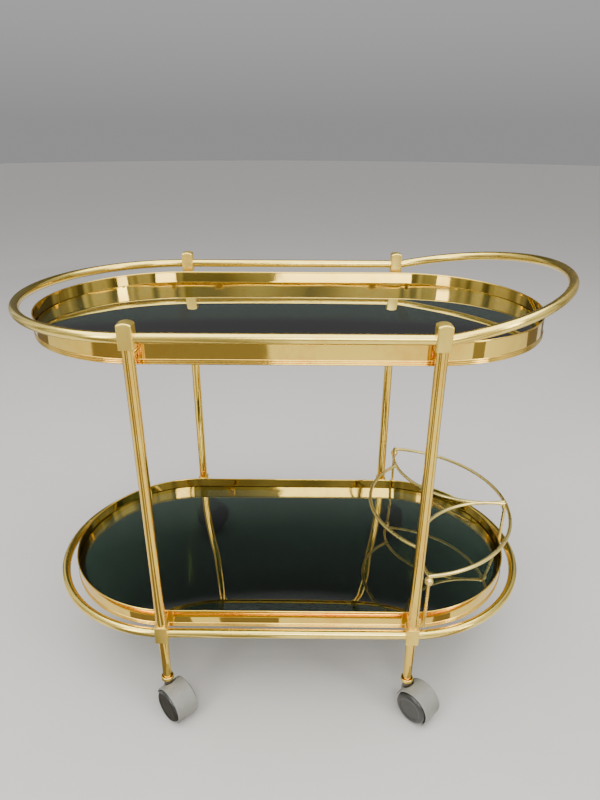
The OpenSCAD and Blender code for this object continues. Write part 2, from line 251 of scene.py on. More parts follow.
def moulded(
    solid: bpy.types.Object,
    cutters: list[bpy.types.Object],
    added: list[bpy.types.Object],
    voxel: float,
    passes: int,
    keep: float,
) -> bpy.types.Mesh:
    """Cuts and joins solids, then softens all their edges as moulding does.

    Args:
        solid: The body of the piece. It is used up, as are the others.
        cutters: Solids that are taken away, in order.
        added: Solids that are joined on first.
        voxel: Size of the cells that the surface is rebuilt from.
        passes: How often the rebuilt surface is smoothed.
        keep: Share of the faces that stay when it is thinned out.

    Returns:
        The softened mesh.
    """
    for other, operation in [(o, "UNION") for o in added] + [(o, "DIFFERENCE") for o in cutters]:
        step = solid.modifiers.new(operation.lower(), "BOOLEAN")
        step.operation, step.object, step.solver = operation, other, "EXACT"
    rebuild = solid.modifiers.new("rebuild", "REMESH")
    rebuild.mode, rebuild.voxel_size, rebuild.use_smooth_shade = "VOXEL", voxel, True
    soften = solid.modifiers.new("soften", "SMOOTH")
    soften.iterations, soften.factor = passes, 0.5
    thin = solid.modifiers.new("thin", "DECIMATE")
    thin.ratio = keep
    bpy.context.view_layer.update()
    depsgraph = bpy.context.evaluated_depsgraph_get()
    mesh = bpy.data.meshes.new_from_object(solid.evaluated_get(depsgraph))
    for piece in [solid, *cutters, *added]:
        bpy.data.objects.remove(piece)
    return mesh


# ------------------------------------------------------------------ shader groups


class Nodes:
    """A small helper that places shader nodes in a tree and links them."""

    def __init__(self, tree: bpy.types.NodeTree) -> None:
        """Takes the tree that the nodes go into."""
        self.tree = tree

    def add(self, kind: str, values: dict | None = None, **settings: object) -> bpy.types.Node:
        """Adds a node.

        Args:
            kind: Blender's name for the node.
            values: Input names or numbers, with a plain value or an output socket each.
            **settings: Properties of the node itself.

        Returns:
            The new node.
        """
        node = self.tree.nodes.new(kind)
        for key, value in settings.items():
            setattr(node, key, value)
        for key, value in (values or {}).items():
            if isinstance(value, bpy.types.NodeSocket):
                self.tree.links.new(value, node.inputs[key])
            else:
                node.inputs[key].default_value = value
        return node

    def maths(self, operation: str, a: object, b: object = 0.0) -> bpy.types.NodeSocket:
        """Adds one step of arithmetic and gives its result."""
        return self.add("ShaderNodeMath", {0: a, 1: b}, operation=operation).outputs[0]

    def blend(self, share: object, a: object, b: object) -> bpy.types.NodeSocket:
        """Mixes two colours.

        Args:
            share: How much of the second colour goes in, from 0 to 1.
            a: The first colour.
            b: The second colour.

        Returns:
            The mixed colour.
        """
        node = self.add("ShaderNodeMix", {"Factor": share}, data_type="RGBA")
        for socket, value in ((node.inputs[6], a), (node.inputs[7], b)):
            if isinstance(value, bpy.types.NodeSocket):
                self.tree.links.new(value, socket)
            else:
                socket.default_value = value
        return node.outputs[2]

    def ranged(
        self, value: object, source: tuple[float, float], target: tuple[object, object]
    ) -> bpy.types.NodeSocket:
        """Maps one range of values to another and gives the result."""
        ends = {"From Min": source[0], "From Max": source[1], "To Min": target[0], "To Max": target[1]}
        return self.add("ShaderNodeMapRange", {"Value": value, **ends}).outputs[0]

    def noise(
        self, place: object, scale: object, detail: float, rough: float = 0.5, distortion: float = 0.0
    ) -> bpy.types.NodeSocket:
        """Adds soft noise.

        Args:
            place: Where the noise is read.
            scale: How fine it is.
            detail: How many finer layers lie on it.
            rough: How strong the finer layers are.
            distortion: How far it is stirred.

        Returns:
            Its level, about 0.5 on average.
        """
        form = {"Detail": detail, "Roughness": rough, "Distortion": distortion}
        return self.add("ShaderNodeTexNoise", {"Vector": place, "Scale": scale, **form}).outputs["Fac"]


GroupParts = tuple[bpy.types.NodeTree, Nodes, bpy.types.Node, bpy.types.Node]


def new_group(name: str, inputs: dict[str, tuple[str, object]], outputs: dict[str, str]) -> GroupParts:
    """Makes an empty shader group with named sockets.

    Args:
        name: Name of the group.
        inputs: For each input, its kind (Float, Vector or Color) and first value.
        outputs: For each output, its kind.

    Returns:
        The tree, its node helper, and its input and output nodes.
    """
    tree = bpy.data.node_groups.new(name, "ShaderNodeTree")
    for label, (kind, value) in inputs.items():
        socket = tree.interface.new_socket(label, in_out="INPUT", socket_type="NodeSocket" + kind)
        if kind != "Vector":
            socket.default_value = value
    for label, kind in outputs.items():
        tree.interface.new_socket(label, in_out="OUTPUT", socket_type="NodeSocket" + kind)
    nodes = Nodes(tree)
    return tree, nodes, nodes.add("NodeGroupInput"), nodes.add("NodeGroupOutput")


def handling_group() -> bpy.types.NodeTree:
    """Makes the uneven dulling that hands and polish leave.

    Returns:
        A group that gives a Mask of the duller places and the Roughness there.
    """
    tree, nodes, given, out = new_group(
        "handling",
        {"Place": ("Vector", None), "Scale": ("Float", 14.0),
         "Smooth": ("Float", 0.1), "Dull": ("Float", 0.3)},
        {"Mask": "Float", "Roughness": "Float"},
    )
    fine_ratio, broad_share = 9.0, 0.75
    clean_below, dull_above = 0.46, 0.62
    broad = nodes.noise(given.outputs["Place"], given.outputs["Scale"], detail=5.0, rough=0.6)
    fine_scale = nodes.maths("MULTIPLY", given.outputs["Scale"], fine_ratio)
    fine = nodes.noise(given.outputs["Place"], fine_scale, detail=3.0)
    both = nodes.maths("ADD", nodes.maths("MULTIPLY", broad, broad_share),
                       nodes.maths("MULTIPLY", fine, 1 - broad_share))
    mask = nodes.ranged(both, (clean_below, dull_above), (0.0, 1.0))
    rough = nodes.ranged(mask, (0.0, 1.0), (given.outputs["Smooth"], given.outputs["Dull"]))
    tree.links.new(mask, out.inputs["Mask"])
    tree.links.new(rough, out.inputs["Roughness"])
    return tree


def drawn_group() -> bpy.types.NodeTree:
    """Makes the hair lines that drawing or turning leaves along the first axis of a map.

    Returns:
        A group that gives the lines as a Height.
    """
    tree, nodes, given, out = new_group(
        "drawn_lines",
        {"Place": ("Vector", None), "Length": ("Float", 12.0), "Fineness": ("Float", 2600.0)},
        {"Height": "Float"},
    )
    split = nodes.add("ShaderNodeSeparateXYZ", {"Vector": given.outputs["Place"]})
    joined = nodes.add("ShaderNodeCombineXYZ", {
        "X": nodes.maths("MULTIPLY", split.outputs["X"], given.outputs["Length"]),
        "Y": nodes.maths("MULTIPLY", split.outputs["Y"], given.outputs["Fineness"]),
    })
    lines = nodes.noise(joined.outputs[0], scale=1.0, detail=3.0)
    tree.links.new(lines, out.inputs["Height"])
    return tree


def dust_group() -> bpy.types.NodeTree:
    """Makes the thin dust that settles on faces that look up.

    Returns:
        A group that gives the dust as a Mask.
    """
    tree, nodes, given, out = new_group(
        "settled_dust",
        {"Place": ("Vector", None), "Scale": ("Float", 60.0), "Amount": ("Float", 0.2)},
        {"Mask": "Float"},
    )
    too_steep, thinnest = 0.35, 0.15
    thin_below, thick_above = 0.42, 0.7
    normal = nodes.add("ShaderNodeNewGeometry").outputs["Normal"]
    facing = nodes.add("ShaderNodeSeparateXYZ", {"Vector": normal})
    upward = nodes.ranged(facing.outputs["Z"], (too_steep, 1.0), (0.0, 1.0))
    patches = nodes.noise(given.outputs["Place"], given.outputs["Scale"], detail=6.0, rough=0.7)
    spread = nodes.ranged(patches, (thin_below, thick_above), (thinnest, 1.0))
    mask = nodes.maths("MULTIPLY", nodes.maths("MULTIPLY", upward, spread), given.outputs["Amount"])
    tree.links.new(mask, out.inputs["Mask"])
    return tree


def stipple_group() -> bpy.types.NodeTree:
    """Makes the fine spark-eroded stipple of moulded plastic.

    Returns:
        A group that gives the stipple as a Height and the scuffs as a Mask.
    """
    tree, nodes, given, out = new_group(
        "mould_stipple",
        {"Place": ("Vector", None), "Grain": ("Float", 1500.0), "Scuffs": ("Float", 90.0)},
        {"Height": "Float", "Mask": "Float"},
    )
    whole_below, scuffed_above = 0.5, 0.72
    place = given.outputs["Place"]
    grain = nodes.noise(place, given.outputs["Grain"], detail=2.0)
    marks = nodes.noise(place, given.outputs["Scuffs"], detail=7.0, rough=0.75, distortion=1.2)
    tree.links.new(grain, out.inputs["Height"])
    mask = nodes.ranged(marks, (whole_below, scuffed_above), (0.0, 1.0))
    tree.links.new(mask, out.inputs["Mask"])
    return tree


@dataclass(frozen=True)
class Effects:
    """The shader groups that several finishes share, each built once."""

    handling: bpy.types.NodeTree
    drawn: bpy.types.NodeTree
    dust: bpy.types.NodeTree
    stipple: bpy.types.NodeTree

    @staticmethod
    def build() -> "Effects":
        """Builds every group."""
        return Effects(handling_group(), drawn_group(), dust_group(), stipple_group())


def place_group(nodes: Nodes, tree: bpy.types.NodeTree, values: dict) -> bpy.types.Node:
    """Places a shader group in a material.

    Args:
        nodes: The node helper of the material.
        tree: The group.
        values: Input names, with a plain value or an output socket each.

    Returns:
        The placed group.
    """
    node = nodes.add("ShaderNodeGroup", node_tree=tree)
    for key, value in values.items():
        if isinstance(value, bpy.types.NodeSocket):
            nodes.tree.links.new(value, node.inputs[key])
        else:
            node.inputs[key].default_value = value
    return node


# ------------------------------------------------------------------ finishes


Colour = tuple[float, float, float]


def rgba(colour: Colour) -> tuple[float, float, float, float]:
    """Adds a full alpha to a colour."""
    return (*colour, 1.0)


def blank_material(name: str) -> tuple[bpy.types.Material, Nodes, bpy.types.Node]:
    """Makes a material with a bare Principled shader.

    Args:
        name: Name of the material.

    Returns:
        The material, its node helper and the shader.
    """
    material = bpy.data.materials.new(name)
    material.use_nodes = True
    nodes = Nodes(material.node_tree)
    shader = next(n for n in material.node_tree.nodes if n.type == "BSDF_PRINCIPLED")
    return material, nodes, shader


@dataclass(frozen=True)
class MetalFinish:
    """A metal surface: its colour, how it is polished and how it has aged."""

    name: str
    colour: Colour
    aged: Colour
    smooth: float
    dull: float
    line_depth: float
    dust: float
    handling_scale: float = 14.0
    line_length: float = 12.0
    line_fineness: float = 2600.0
    wave_depth: float = 0.0
    wave_scale: float = 9.0
    coat: float = 0.0
    coat_rough: float = 0.06
    ageing: float = 0.7
    dust_rough: float = 0.5

    def material(self, effects: Effects) -> bpy.types.Material:
        """Builds the material.

        Args:
            effects: The shared shader groups.

        Returns:
            The material.
        """
        material, nodes, shader = blank_material(self.name)
        spots = nodes.add("ShaderNodeTexCoord")
        hands = place_group(nodes, effects.handling, {
            "Place": spots.outputs["Object"], "Scale": self.handling_scale,
            "Smooth": self.smooth, "Dull": self.dull})
        dust = place_group(nodes, effects.dust, {"Place": spots.outputs["Object"], "Amount": self.dust})
        lines = place_group(nodes, effects.drawn, {
            "Place": spots.outputs["UV"], "Length": self.line_length, "Fineness": self.line_fineness})
        old = nodes.maths("MULTIPLY", hands.outputs["Mask"], self.ageing)
        aged = nodes.blend(old, rgba(self.colour), rgba(self.aged))
        dusty = nodes.blend(dust.outputs["Mask"], aged, rgba(DUST_COLOUR))
        dusted = nodes.maths("MULTIPLY", dust.outputs["Mask"], self.dust_rough)
        rough = nodes.maths("ADD", hands.outputs["Roughness"], dusted)
        bump = nodes.add("ShaderNodeBump", {"Height": lines.outputs["Height"], "Strength": 1.0,
                                            "Distance": self.line_depth})
        if self.wave_depth:
            waves = nodes.noise(spots.outputs["Object"], self.wave_scale, detail=1.0)
            bump = nodes.add("ShaderNodeBump", {"Height": waves, "Strength": 1.0,
                                                "Distance": self.wave_depth, "Normal": bump.outputs[0]})
        nodes.tree.links.new(dusty, shader.inputs["Base Color"])
        nodes.tree.links.new(rough, shader.inputs["Roughness"])
        nodes.tree.links.new(bump.outputs[0], shader.inputs["Normal"])
        shader.inputs["Metallic"].default_value = 1.0
        shader.inputs["Coat Weight"].default_value = self.coat
        shader.inputs["Coat Roughness"].default_value = self.coat_rough
        return material


@dataclass(frozen=True)
class GlassFinish:
    """Smoked sheet glass with clean, fire-bright faces and a little dust."""

    name: str
    tint: Colour
    index: float
    coat: float
    coat_index: float
    dust: float
    dust_scale: float = 240.0
    smears: float = 0.035
    smear_scale: float = 7.0

    def material(self, effects: Effects) -> bpy.types.Material:
        """Builds the material.

        Args:
            effects: The shared shader groups.

        Returns:
            The material.
        """
        material, nodes, shader = blank_material(self.name)
        spots = nodes.add("ShaderNodeTexCoord")
        hands = place_group(nodes, effects.handling, {
            "Place": spots.outputs["Object"], "Scale": self.smear_scale, "Smooth": 0.0, "Dull": self.smears})
        dust = place_group(nodes, effects.dust, {
            "Place": spots.outputs["Object"], "Scale": self.dust_scale, "Amount": self.dust})
        colour = nodes.blend(dust.outputs["Mask"], rgba(self.tint), rgba(DUST_COLOUR))
        nodes.tree.links.new(colour, shader.inputs["Base Color"])
        nodes.tree.links.new(hands.outputs["Roughness"], shader.inputs["Roughness"])
        shader.inputs["Transmission Weight"].default_value = 1.0
        shader.inputs["IOR"].default_value = self.index
        shader.inputs["Coat Weight"].default_value = self.coat
        shader.inputs["Coat IOR"].default_value = self.coat_index
        shader.inputs["Coat Roughness"].default_value = 0.0
        return material


@dataclass(frozen=True)
class PlasticFinish:
    """Moulded plastic with a stipple, scuffs and settled dust."""

    name: str
    colour: Colour
    worn: Colour
    rough: float
    grain_depth: float
    dust: float
    coat: float
    coat_rough: float = 0.2
    dust_scale: float = 110.0
    wear: float = 0.55
    wear_rough: float = 0.15
    grain_strength: float = 0.6

    def material(self, effects: Effects) -> bpy.types.Material:
        """Builds the material.

        Args:
            effects: The shared shader groups.

        Returns:
            The material.
        """
        material, nodes, shader = blank_material(self.name)
        spots = nodes.add("ShaderNodeTexCoord")
        stipple = place_group(nodes, effects.stipple, {"Place": spots.outputs["Object"]})
        dust = place_group(nodes, effects.dust, {
            "Place": spots.outputs["Object"], "Scale": self.dust_scale, "Amount": self.dust})
        scuffs = nodes.maths("MULTIPLY", stipple.outputs["Mask"], self.wear)
        scuffed = nodes.blend(scuffs, rgba(self.colour), rgba(self.worn))
        dusty = nodes.blend(dust.outputs["Mask"], scuffed, rgba(DUST_COLOUR))
        rough = nodes.ranged(stipple.outputs["Mask"], (0.0, 1.0), (self.rough, self.rough + self.wear_rough))
        bump = nodes.add("ShaderNodeBump", {
            "Height": stipple.outputs["Height"], "Strength": self.grain_strength,
            "Distance": self.grain_depth})
        nodes.tree.links.new(dusty, shader.inputs["Base Color"])
        nodes.tree.links.new(rough, shader.inputs["Roughness"])
        nodes.tree.links.new(bump.outputs[0], shader.inputs["Normal"])
        shader.inputs["Coat Weight"].default_value = self.coat
        shader.inputs["Coat Roughness"].default_value = self.coat_rough
        return material


DUST_COLOUR: Colour = (0.46, 0.43, 0.38)


class Finish(Enum):
    """The finishes of the trolley. Each value is the recipe of one material."""

    TUBE = MetalFinish("polished_tube", (0.98, 0.68, 0.11), (0.86, 0.50, 0.06), 0.07, 0.15,
                       0.012 * MM, 0.04, coat=0.3)
    RAIL = MetalFinish("brushed_rail", (1.0, 0.76, 0.17), (0.90, 0.60, 0.09), 0.19, 0.28,
                       0.02 * MM, 0.05, line_length=20.0, coat=0.25)
    BAND = MetalFinish("polished_band", (0.98, 0.69, 0.12), (0.88, 0.53, 0.07), 0.04, 0.10,
                       0.004 * MM, 0.02, line_fineness=1500.0,
                       wave_depth=0.25 * MM, wave_scale=16.0, coat=0.3)
    CAP = MetalFinish("satin_casting", (1.0, 0.76, 0.18), (0.92, 0.63, 0.11), 0.36, 0.46,
                      0.012 * MM, 0.05, handling_scale=30.0, line_fineness=700.0, line_length=60.0)
    WIRE = MetalFinish("rack_wire", (1.0, 0.80, 0.26), (0.90, 0.66, 0.16), 0.27, 0.38,
                       0.02 * MM, 0.04, handling_scale=30.0)
    STEEL = MetalFinish("bright_steel", (0.60, 0.59, 0.57), (0.40, 0.38, 0.36), 0.24, 0.42, 0.02 * MM, 0.1)
    STEM = MetalFinish("dark_steel", (0.20, 0.19, 0.18), (0.30, 0.22, 0.16), 0.34, 0.5, 0.02 * MM, 0.15)
    GLASS = GlassFinish("smoked_sheet", (0.035, 0.075, 0.052), 1.55, 1.0, 2.05, 0.008)
    HOOD = PlasticFinish("hood_plastic", (0.215, 0.218, 0.19), (0.30, 0.30, 0.27),
                         0.42, 0.05 * MM, 0.15, 0.0)
    WHEEL = PlasticFinish("wheel_plastic", (0.018, 0.019, 0.015), (0.06, 0.06, 0.05),
                          0.33, 0.02 * MM, 0.05, 0.5)


class Wardrobe:
    """Holds one material for each finish and puts them on pieces."""

    def __init__(self) -> None:
        """Builds the shared groups and every material."""
        effects = Effects.build()
        self.materials = {finish: finish.value.material(effects) for finish in Finish}

    def dress(self, piece: bpy.types.Object, finish: Finish) -> None:
        """Gives a piece one finish over its whole surface."""
        piece.data.materials.clear()
        piece.data.materials.append(self.materials[finish])

    def dress_node(self, node: bpy.types.Object, finish: Finish) -> None:
        """Gives a carried-over node one finish through its material slots.

        Args:
            node: The node's object.
            finish: The finish.
        """
        if not node.material_slots:
            node.data.materials.append(self.materials[finish])
        for slot in node.material_slots:
            slot.link = "OBJECT"
            slot.material = self.materials[finish]


# ------------------------------------------------------------------ layout


@dataclass(frozen=True)
class Layout:
    """The main places of the trolley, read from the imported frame."""

    middle_x: float
    post_x: float
    post_y: float
    post_r: float
    rail_r: float
    bend_x: float
    top_z: float
    low_z: float
    tray_r: float

    @staticmethod
    def read() -> "Layout":
        """Works the places out from the boxes of the nodes.

        Returns:
            The layout, with post_x and bend_x measured from middle_x.
        """
        left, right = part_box("post_front_left"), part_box("post_front_right")
        middle_x = (left[0].x + right[1].x) / 2
        post_r = (left[1].x - left[0].x) / 2
        post_y = -(left[0].y + left[1].y) / 2
        top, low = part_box("top_rail_front"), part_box("low_rail_front")
        rail_r = (low[1].z - low[0].z) / 2
        bow_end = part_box("low_rail_right_bow")[1].x
        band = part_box("upper_band")
        bend_x = bow_end - rail_r - post_y - middle_x
        band_edge = band[1].x - middle_x - bend_x
        return Layout(
            middle_x, right[1].x - post_r - middle_x, post_y, post_r, rail_r, bend_x,
            (top[0].z + top[1].z) / 2, (low[0].z + low[1].z) / 2, band_edge - RIM_PROUD)

    def corner(self, name: str) -> tuple[int, int]:
        """Gives the signs of x and y at a corner."""
        return (-1 if "left" in name else 1, -1 if "front" in name else 1)

    def post_axis(self, name: str) -> Vector:
        """Gives the point on the floor under a corner's post."""
        sx, sy = self.corner(name)
        return Vector((self.middle_x + sx * self.post_x, sy * self.post_y, 0))


def stadium_stations(
    layout: Layout, radius: float, z: float, arc_steps: int, straight_steps: int
) -> list[Station]:
    """Gives the stops of a closed way with a straight middle and half-round ends.

    Args:
        layout: Where the straight parts end.
        radius: Radius of the half-round ends.
        z: Height of the way.
        arc_steps: Number of steps round each end.
        straight_steps: Number of steps along each straight side.

    Returns:
        The stops, counter-clockwise from the start of the right-hand end.
    """
    out = []
    for turn in (0.0, math.pi):
        spin = Matrix.Rotation(turn, 3, "Z")
        for i in range(arc_steps):
            a = math.pi * i / arc_steps - math.pi / 2
            across = Vector((math.cos(a), math.sin(a), 0))
            place = Vector((layout.bend_x, 0, 0)) + across * radius
            out.append((spin @ place, spin @ across))
        for i in range(straight_steps):
            place = Vector((layout.bend_x * (1 - 2 * i / straight_steps), radius, 0))
            out.append((spin @ place, spin @ Vector((0, 1, 0))))
    shift = Vector((layout.middle_x, 0, z))
    return [Station(place + shift, across, UP) for place, across in out]


# ------------------------------------------------------------------ sub-assemblies


@dataclass
class Workshop:
    """What every sub-assembly needs: the layout, the materials and the imported nodes."""

    layout: Layout
    wardrobe: Wardrobe
    nodes: dict[str, bpy.types.Object]

    def deliver(self, piece: bpy.types.Object, finish: Finish, body: str, slot: str, *replaced: str) -> None:
        """Finishes a piece and hangs it on its body.

        Args:
            piece: The piece.
            finish: What it is covered with.
            body: The body that it moves with.
            slot: Not used.
            *replaced: The nodes that it stands for.
        """
        self.wardrobe.dress(piece, finish)
        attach(piece, body)
        if replaced:
            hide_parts(*replaced)
        LOG.info("%s: %d faces on %s", piece.name, len(piece.data.polygons), body)

    def keep(self, node: str, finish: Finish) -> None:
        """Keeps a node's own shape and gives it a finish."""
        self.wardrobe.dress_node(self.nodes[node], finish)
        LOG.info("%s: kept, finished as %s", node, finish.value.name)


@dataclass
class Rails:
    """The tube rails of both tiers: straight sides, half-round bows and the raised handle."""

    shop: Workshop
    round_steps: int = 48
    bow_steps: int = 120
    straight_steps: int = 16
    into_cap: float = 4 * MM

    def straight(self, node: str) -> None:
        """Builds one straight side.

        Args:
            node: The node that it stands for.
        """
        lo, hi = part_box(node)
        y, z = (lo.y + hi.y) / 2, (lo.z + hi.z) / 2
        spots = [lo.x + (hi.x - lo.x) * i / self.straight_steps for i in range(self.straight_steps + 1)]
        stops = [Station(Vector((x, y, z)), Vector((0, 1, 0)), UP) for x in spots]
        self.tube("tube_" + node, stops, node)

    def bow(self, node: str, side: int, z: float) -> None:
        """Builds one half-round end.

        Args:
            node: The node that it stands for.
            side: -1 at the left end and 1 at the right end.
            z: Height of its axis.
        """
        layout = self.shop.layout
        lo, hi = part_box(node)
        start_x = (lo.x if side > 0 else -hi.x) - side * layout.middle_x - layout.bend_x
        skipped = math.asin(start_x / layout.post_y)
        centre = Vector((layout.middle_x + side * layout.bend_x, 0, z))
        self.tube("tube_" + node, self.arc_stations(centre, side, math.pi / 2 - skipped, UP), node)

    def handle(self) -> None:
        """Builds the raised push handle, whose ends rise out of the right-hand caps."""
        layout = self.shop.layout
        cap_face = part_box("cap_front_right")[1].x
        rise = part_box("push_handle")[1].z - layout.top_z - layout.rail_r
        tilt = math.asin(rise / layout.post_y)
        up = Vector((-math.sin(tilt), 0, math.cos(tilt)))
        half = math.pi / 2 + self.into_cap / layout.post_y
        stops = self.arc_stations(Vector((cap_face, 0, layout.top_z)), 1, half, up)
        self.tube("tube_push_handle", stops, "push_handle")

    def arc_stations(self, centre: Vector, side: int, half: float, up: Vector) -> list[Station]:
        """Gives the stops of a bow.

        Args:
            centre: Its centre.
            side: -1 if it bulges to the left and 1 if it bulges to the right.
            half: Half of the angle that it spans.
            up: The normal of the plane that it lies in.

        Returns:
            The stops from front to rear.
        """
        out = []
        along = Vector((0, 1, 0)).cross(up) * side
        for i in range(self.bow_steps + 1):
            a = half * (2 * i / self.bow_steps - 1)
            across = along * math.cos(a) + Vector((0, 1, 0)) * math.sin(a)
            out.append(Station(centre + across * self.shop.layout.post_y, across, up))
        return out

    def tube(self, name: str, stops: list[Station], node: str) -> None:
        """Sweeps the tube along the stops and puts it in the place of a node."""
        piece = sweep(name, stops, circle(self.shop.layout.rail_r, self.round_steps))
        self.shop.deliver(piece, Finish.RAIL, "frame", "polished_brass", node)

    def build(self) -> None:
        """Builds every rail."""
        for tier in ("top", "low"):
            for face in ("front", "rear"):
                self.straight(f"{tier}_rail_{face}")
        self.bow("top_rail_bow", -1, self.shop.layout.top_z)
        self.bow("low_rail_left_bow", -1, self.shop.layout.low_z)
        self.bow("low_rail_right_bow", 1, self.shop.layout.low_z)
        self.handle()


@dataclass
class Posts:
    """The four uprights: cap, post, block, tapered foot and the ring round its end."""

    shop: Workshop
    cap_shoulder: float = 2.2 * MM
    cap_crown: float = 2.5 * MM
    cap_edge: float = 1.6 * MM
    block_edge: float = 0.45 * MM
    foot_end_r: float = 6 * MM
    ring_lip: float = 1.1 * MM
    ring_valley: float = 1.8 * MM
    ring_play: float = 0.1 * MM
    ring_ease: float = 0.4 * MM
    ring_sole: float = 3.0 * MM
    ring_slope: float = 0.2 * MM
    shoulder_steps: int = 6
    crown_steps: int = 16
    corner_steps: int = 3
    round_steps: int = 56
    long_steps: int = 8

    def cap_outline(self, w: float, h: float, inset: float) -> Outline:
        """Gives the outline of a cap, with an arched top between rounded shoulders.

        Args:
            w: Full width.
            h: Full height.
            inset: How far the outline is drawn in.

        Returns:
            The outline, from its lower left corner.
        """
        half, top, crown, shoulder = w / 2 - inset, h - inset, self.cap_crown, self.cap_shoulder - inset
        arch_r = (half * half + crown * crown) / (2 * crown)
        join = math.asin((half - shoulder) / (arch_r - shoulder))
        arch_centre = (0.0, top - arch_r)
        spread = math.degrees(join)
        side = half - shoulder
        level = arch_centre[1] + (arch_r - shoulder) * math.cos(join)
        right = arc((side, level), shoulder, 0, 90 - spread, self.shoulder_steps)
        over = arc(arch_centre, arch_r, 90 - spread, 90 + spread, self.crown_steps)
        left = arc((-side, level), shoulder, 90 + spread, 180, self.shoulder_steps)
        ease = self.block_edge
        low_left = arc((-half + ease, inset + ease), ease, 180, 270, self.corner_steps)
        low_right = arc((half - ease, inset + ease), ease, 270, 360, self.corner_steps)
        return low_left + low_right + right + over[1:-1] + left

    def block_outline(self, w: float, h: float, inset: float) -> Outline:
        """Gives the outline of a block with slightly eased corners.

        Args:
            w: Full width.
            h: Full height.
            inset: How far the outline is drawn in.

        Returns:
            The outline, from its lower left corner.
        """
        r = self.block_edge
        x, low, high = w / 2 - inset - r, inset + r, h - inset - r
        out: Outline = []
        for place, start in (((-x, low), 180), ((x, low), 270), ((x, high), 0), ((-x, high), 90)):
            out += arc(place, r, start, start + 90, self.corner_steps)
        return out

    def plate(self, node: str, outline: Callable[[float, float, float], Outline], edge: float) -> None:
        """Builds a cap or a block in the box of its node.

        Args:
            node: The node that it stands for.
            outline: Gives the outline for a width, a height and an inset.
            edge: Radius of the front and rear edges.
        """
        lo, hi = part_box(node)
        w, h = hi.x - lo.x, hi.z - lo.z
        place = Vector(((lo.x + hi.x) / 2, (lo.y + hi.y) / 2, lo.z))
        piece = rounded_plate("cast_" + node, lambda inset: outline(w, h, inset), w, edge, place)
        self.shop.deliver(piece, Finish.CAP, "frame", "satin_brass", node)

    def upright(self, name: str, foot: Vector, top_z: float, foot_size: float) -> bpy.types.Object:
        """Sweeps a round upright that is as thick as a post at its top.

        Args:
            name: Name of the piece.
            foot: Middle of its lower end.
            top_z: Height of its upper end.
            foot_size: How thick its lower end is, as a share of the upper end.

        Returns:
            The piece.
        """
        stops = []
        for i in range(self.long_steps + 1):
            share = i / self.long_steps
            place = Vector((foot.x, foot.y, foot.z + (top_z - foot.z) * share))
            size = foot_size + (1 - foot_size) * share
            stops.append(Station(place, Vector((1, 0, 0)), Vector((0, 1, 0)), size))
        return sweep(name, stops, circle(self.shop.layout.post_r, self.round_steps))

    def post(self, corner: str) -> None:
        """Builds the straight tube between block and cap.

        Args:
            corner: Which corner it stands at.
        """
        lo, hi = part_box("post_" + corner)
        foot = Vector(((lo.x + hi.x) / 2, (lo.y + hi.y) / 2, lo.z))
        piece = self.upright("tube_post_" + corner, foot, hi.z, 1.0)
        self.shop.deliver(piece, Finish.TUBE, "frame", "polished_brass", "post_" + corner)

    def foot(self, corner: str) -> None:
        """Builds the tapered leg under the block.

        Args:
            corner: Which corner it stands at.
        """
        lo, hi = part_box("foot_" + corner)
        foot = self.shop.layout.post_axis(corner) + UP * lo.z
        piece = self.upright("taper_foot_" + corner, foot, hi.z, self.foot_end_r / self.shop.layout.post_r)
        self.shop.deliver(piece, Finish.TUBE, "frame", "polished_brass", "foot_" + corner)

    def ring(self, corner: str) -> None:
        """Builds the cupped ring round the end of the foot.

        Args:
            corner: Which corner it stands at.
        """
        lo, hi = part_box("collar_" + corner)
        r, h, inner = (hi.x - lo.x) / 2, hi.z - lo.z, self.foot_end_r + self.ring_play
        sole, lip = r - self.ring_sole, self.ring_lip
        belly = arc((sole - self.ring_ease, h / 2), h / 2, -60, 30, 10)[1:]
        profile = ([(inner, self.ring_ease), (sole, 0.0)] + belly + arc((r - lip, h - lip), lip, 10, 170, 8)
                   + [(inner + self.ring_slope, h - self.ring_valley)])
        place = Matrix.Translation(self.shop.layout.post_axis(corner) + UP * lo.z)
        piece = turned("ring_" + corner, profile, place, closed=True)
        self.shop.deliver(piece, Finish.RAIL, "frame", "polished_brass", "collar_" + corner)

    def build(self) -> None:
        """Builds the pieces of every corner and finishes the tie rods."""
        for corner in CORNERS:
            self.plate("cap_" + corner, self.cap_outline, self.cap_edge)
            self.plate("block_" + corner, self.block_outline, self.block_edge)
            self.post(corner)
            self.foot(corner)
            self.ring(corner)
        self.shop.keep("tie_rods", Finish.STEEL)


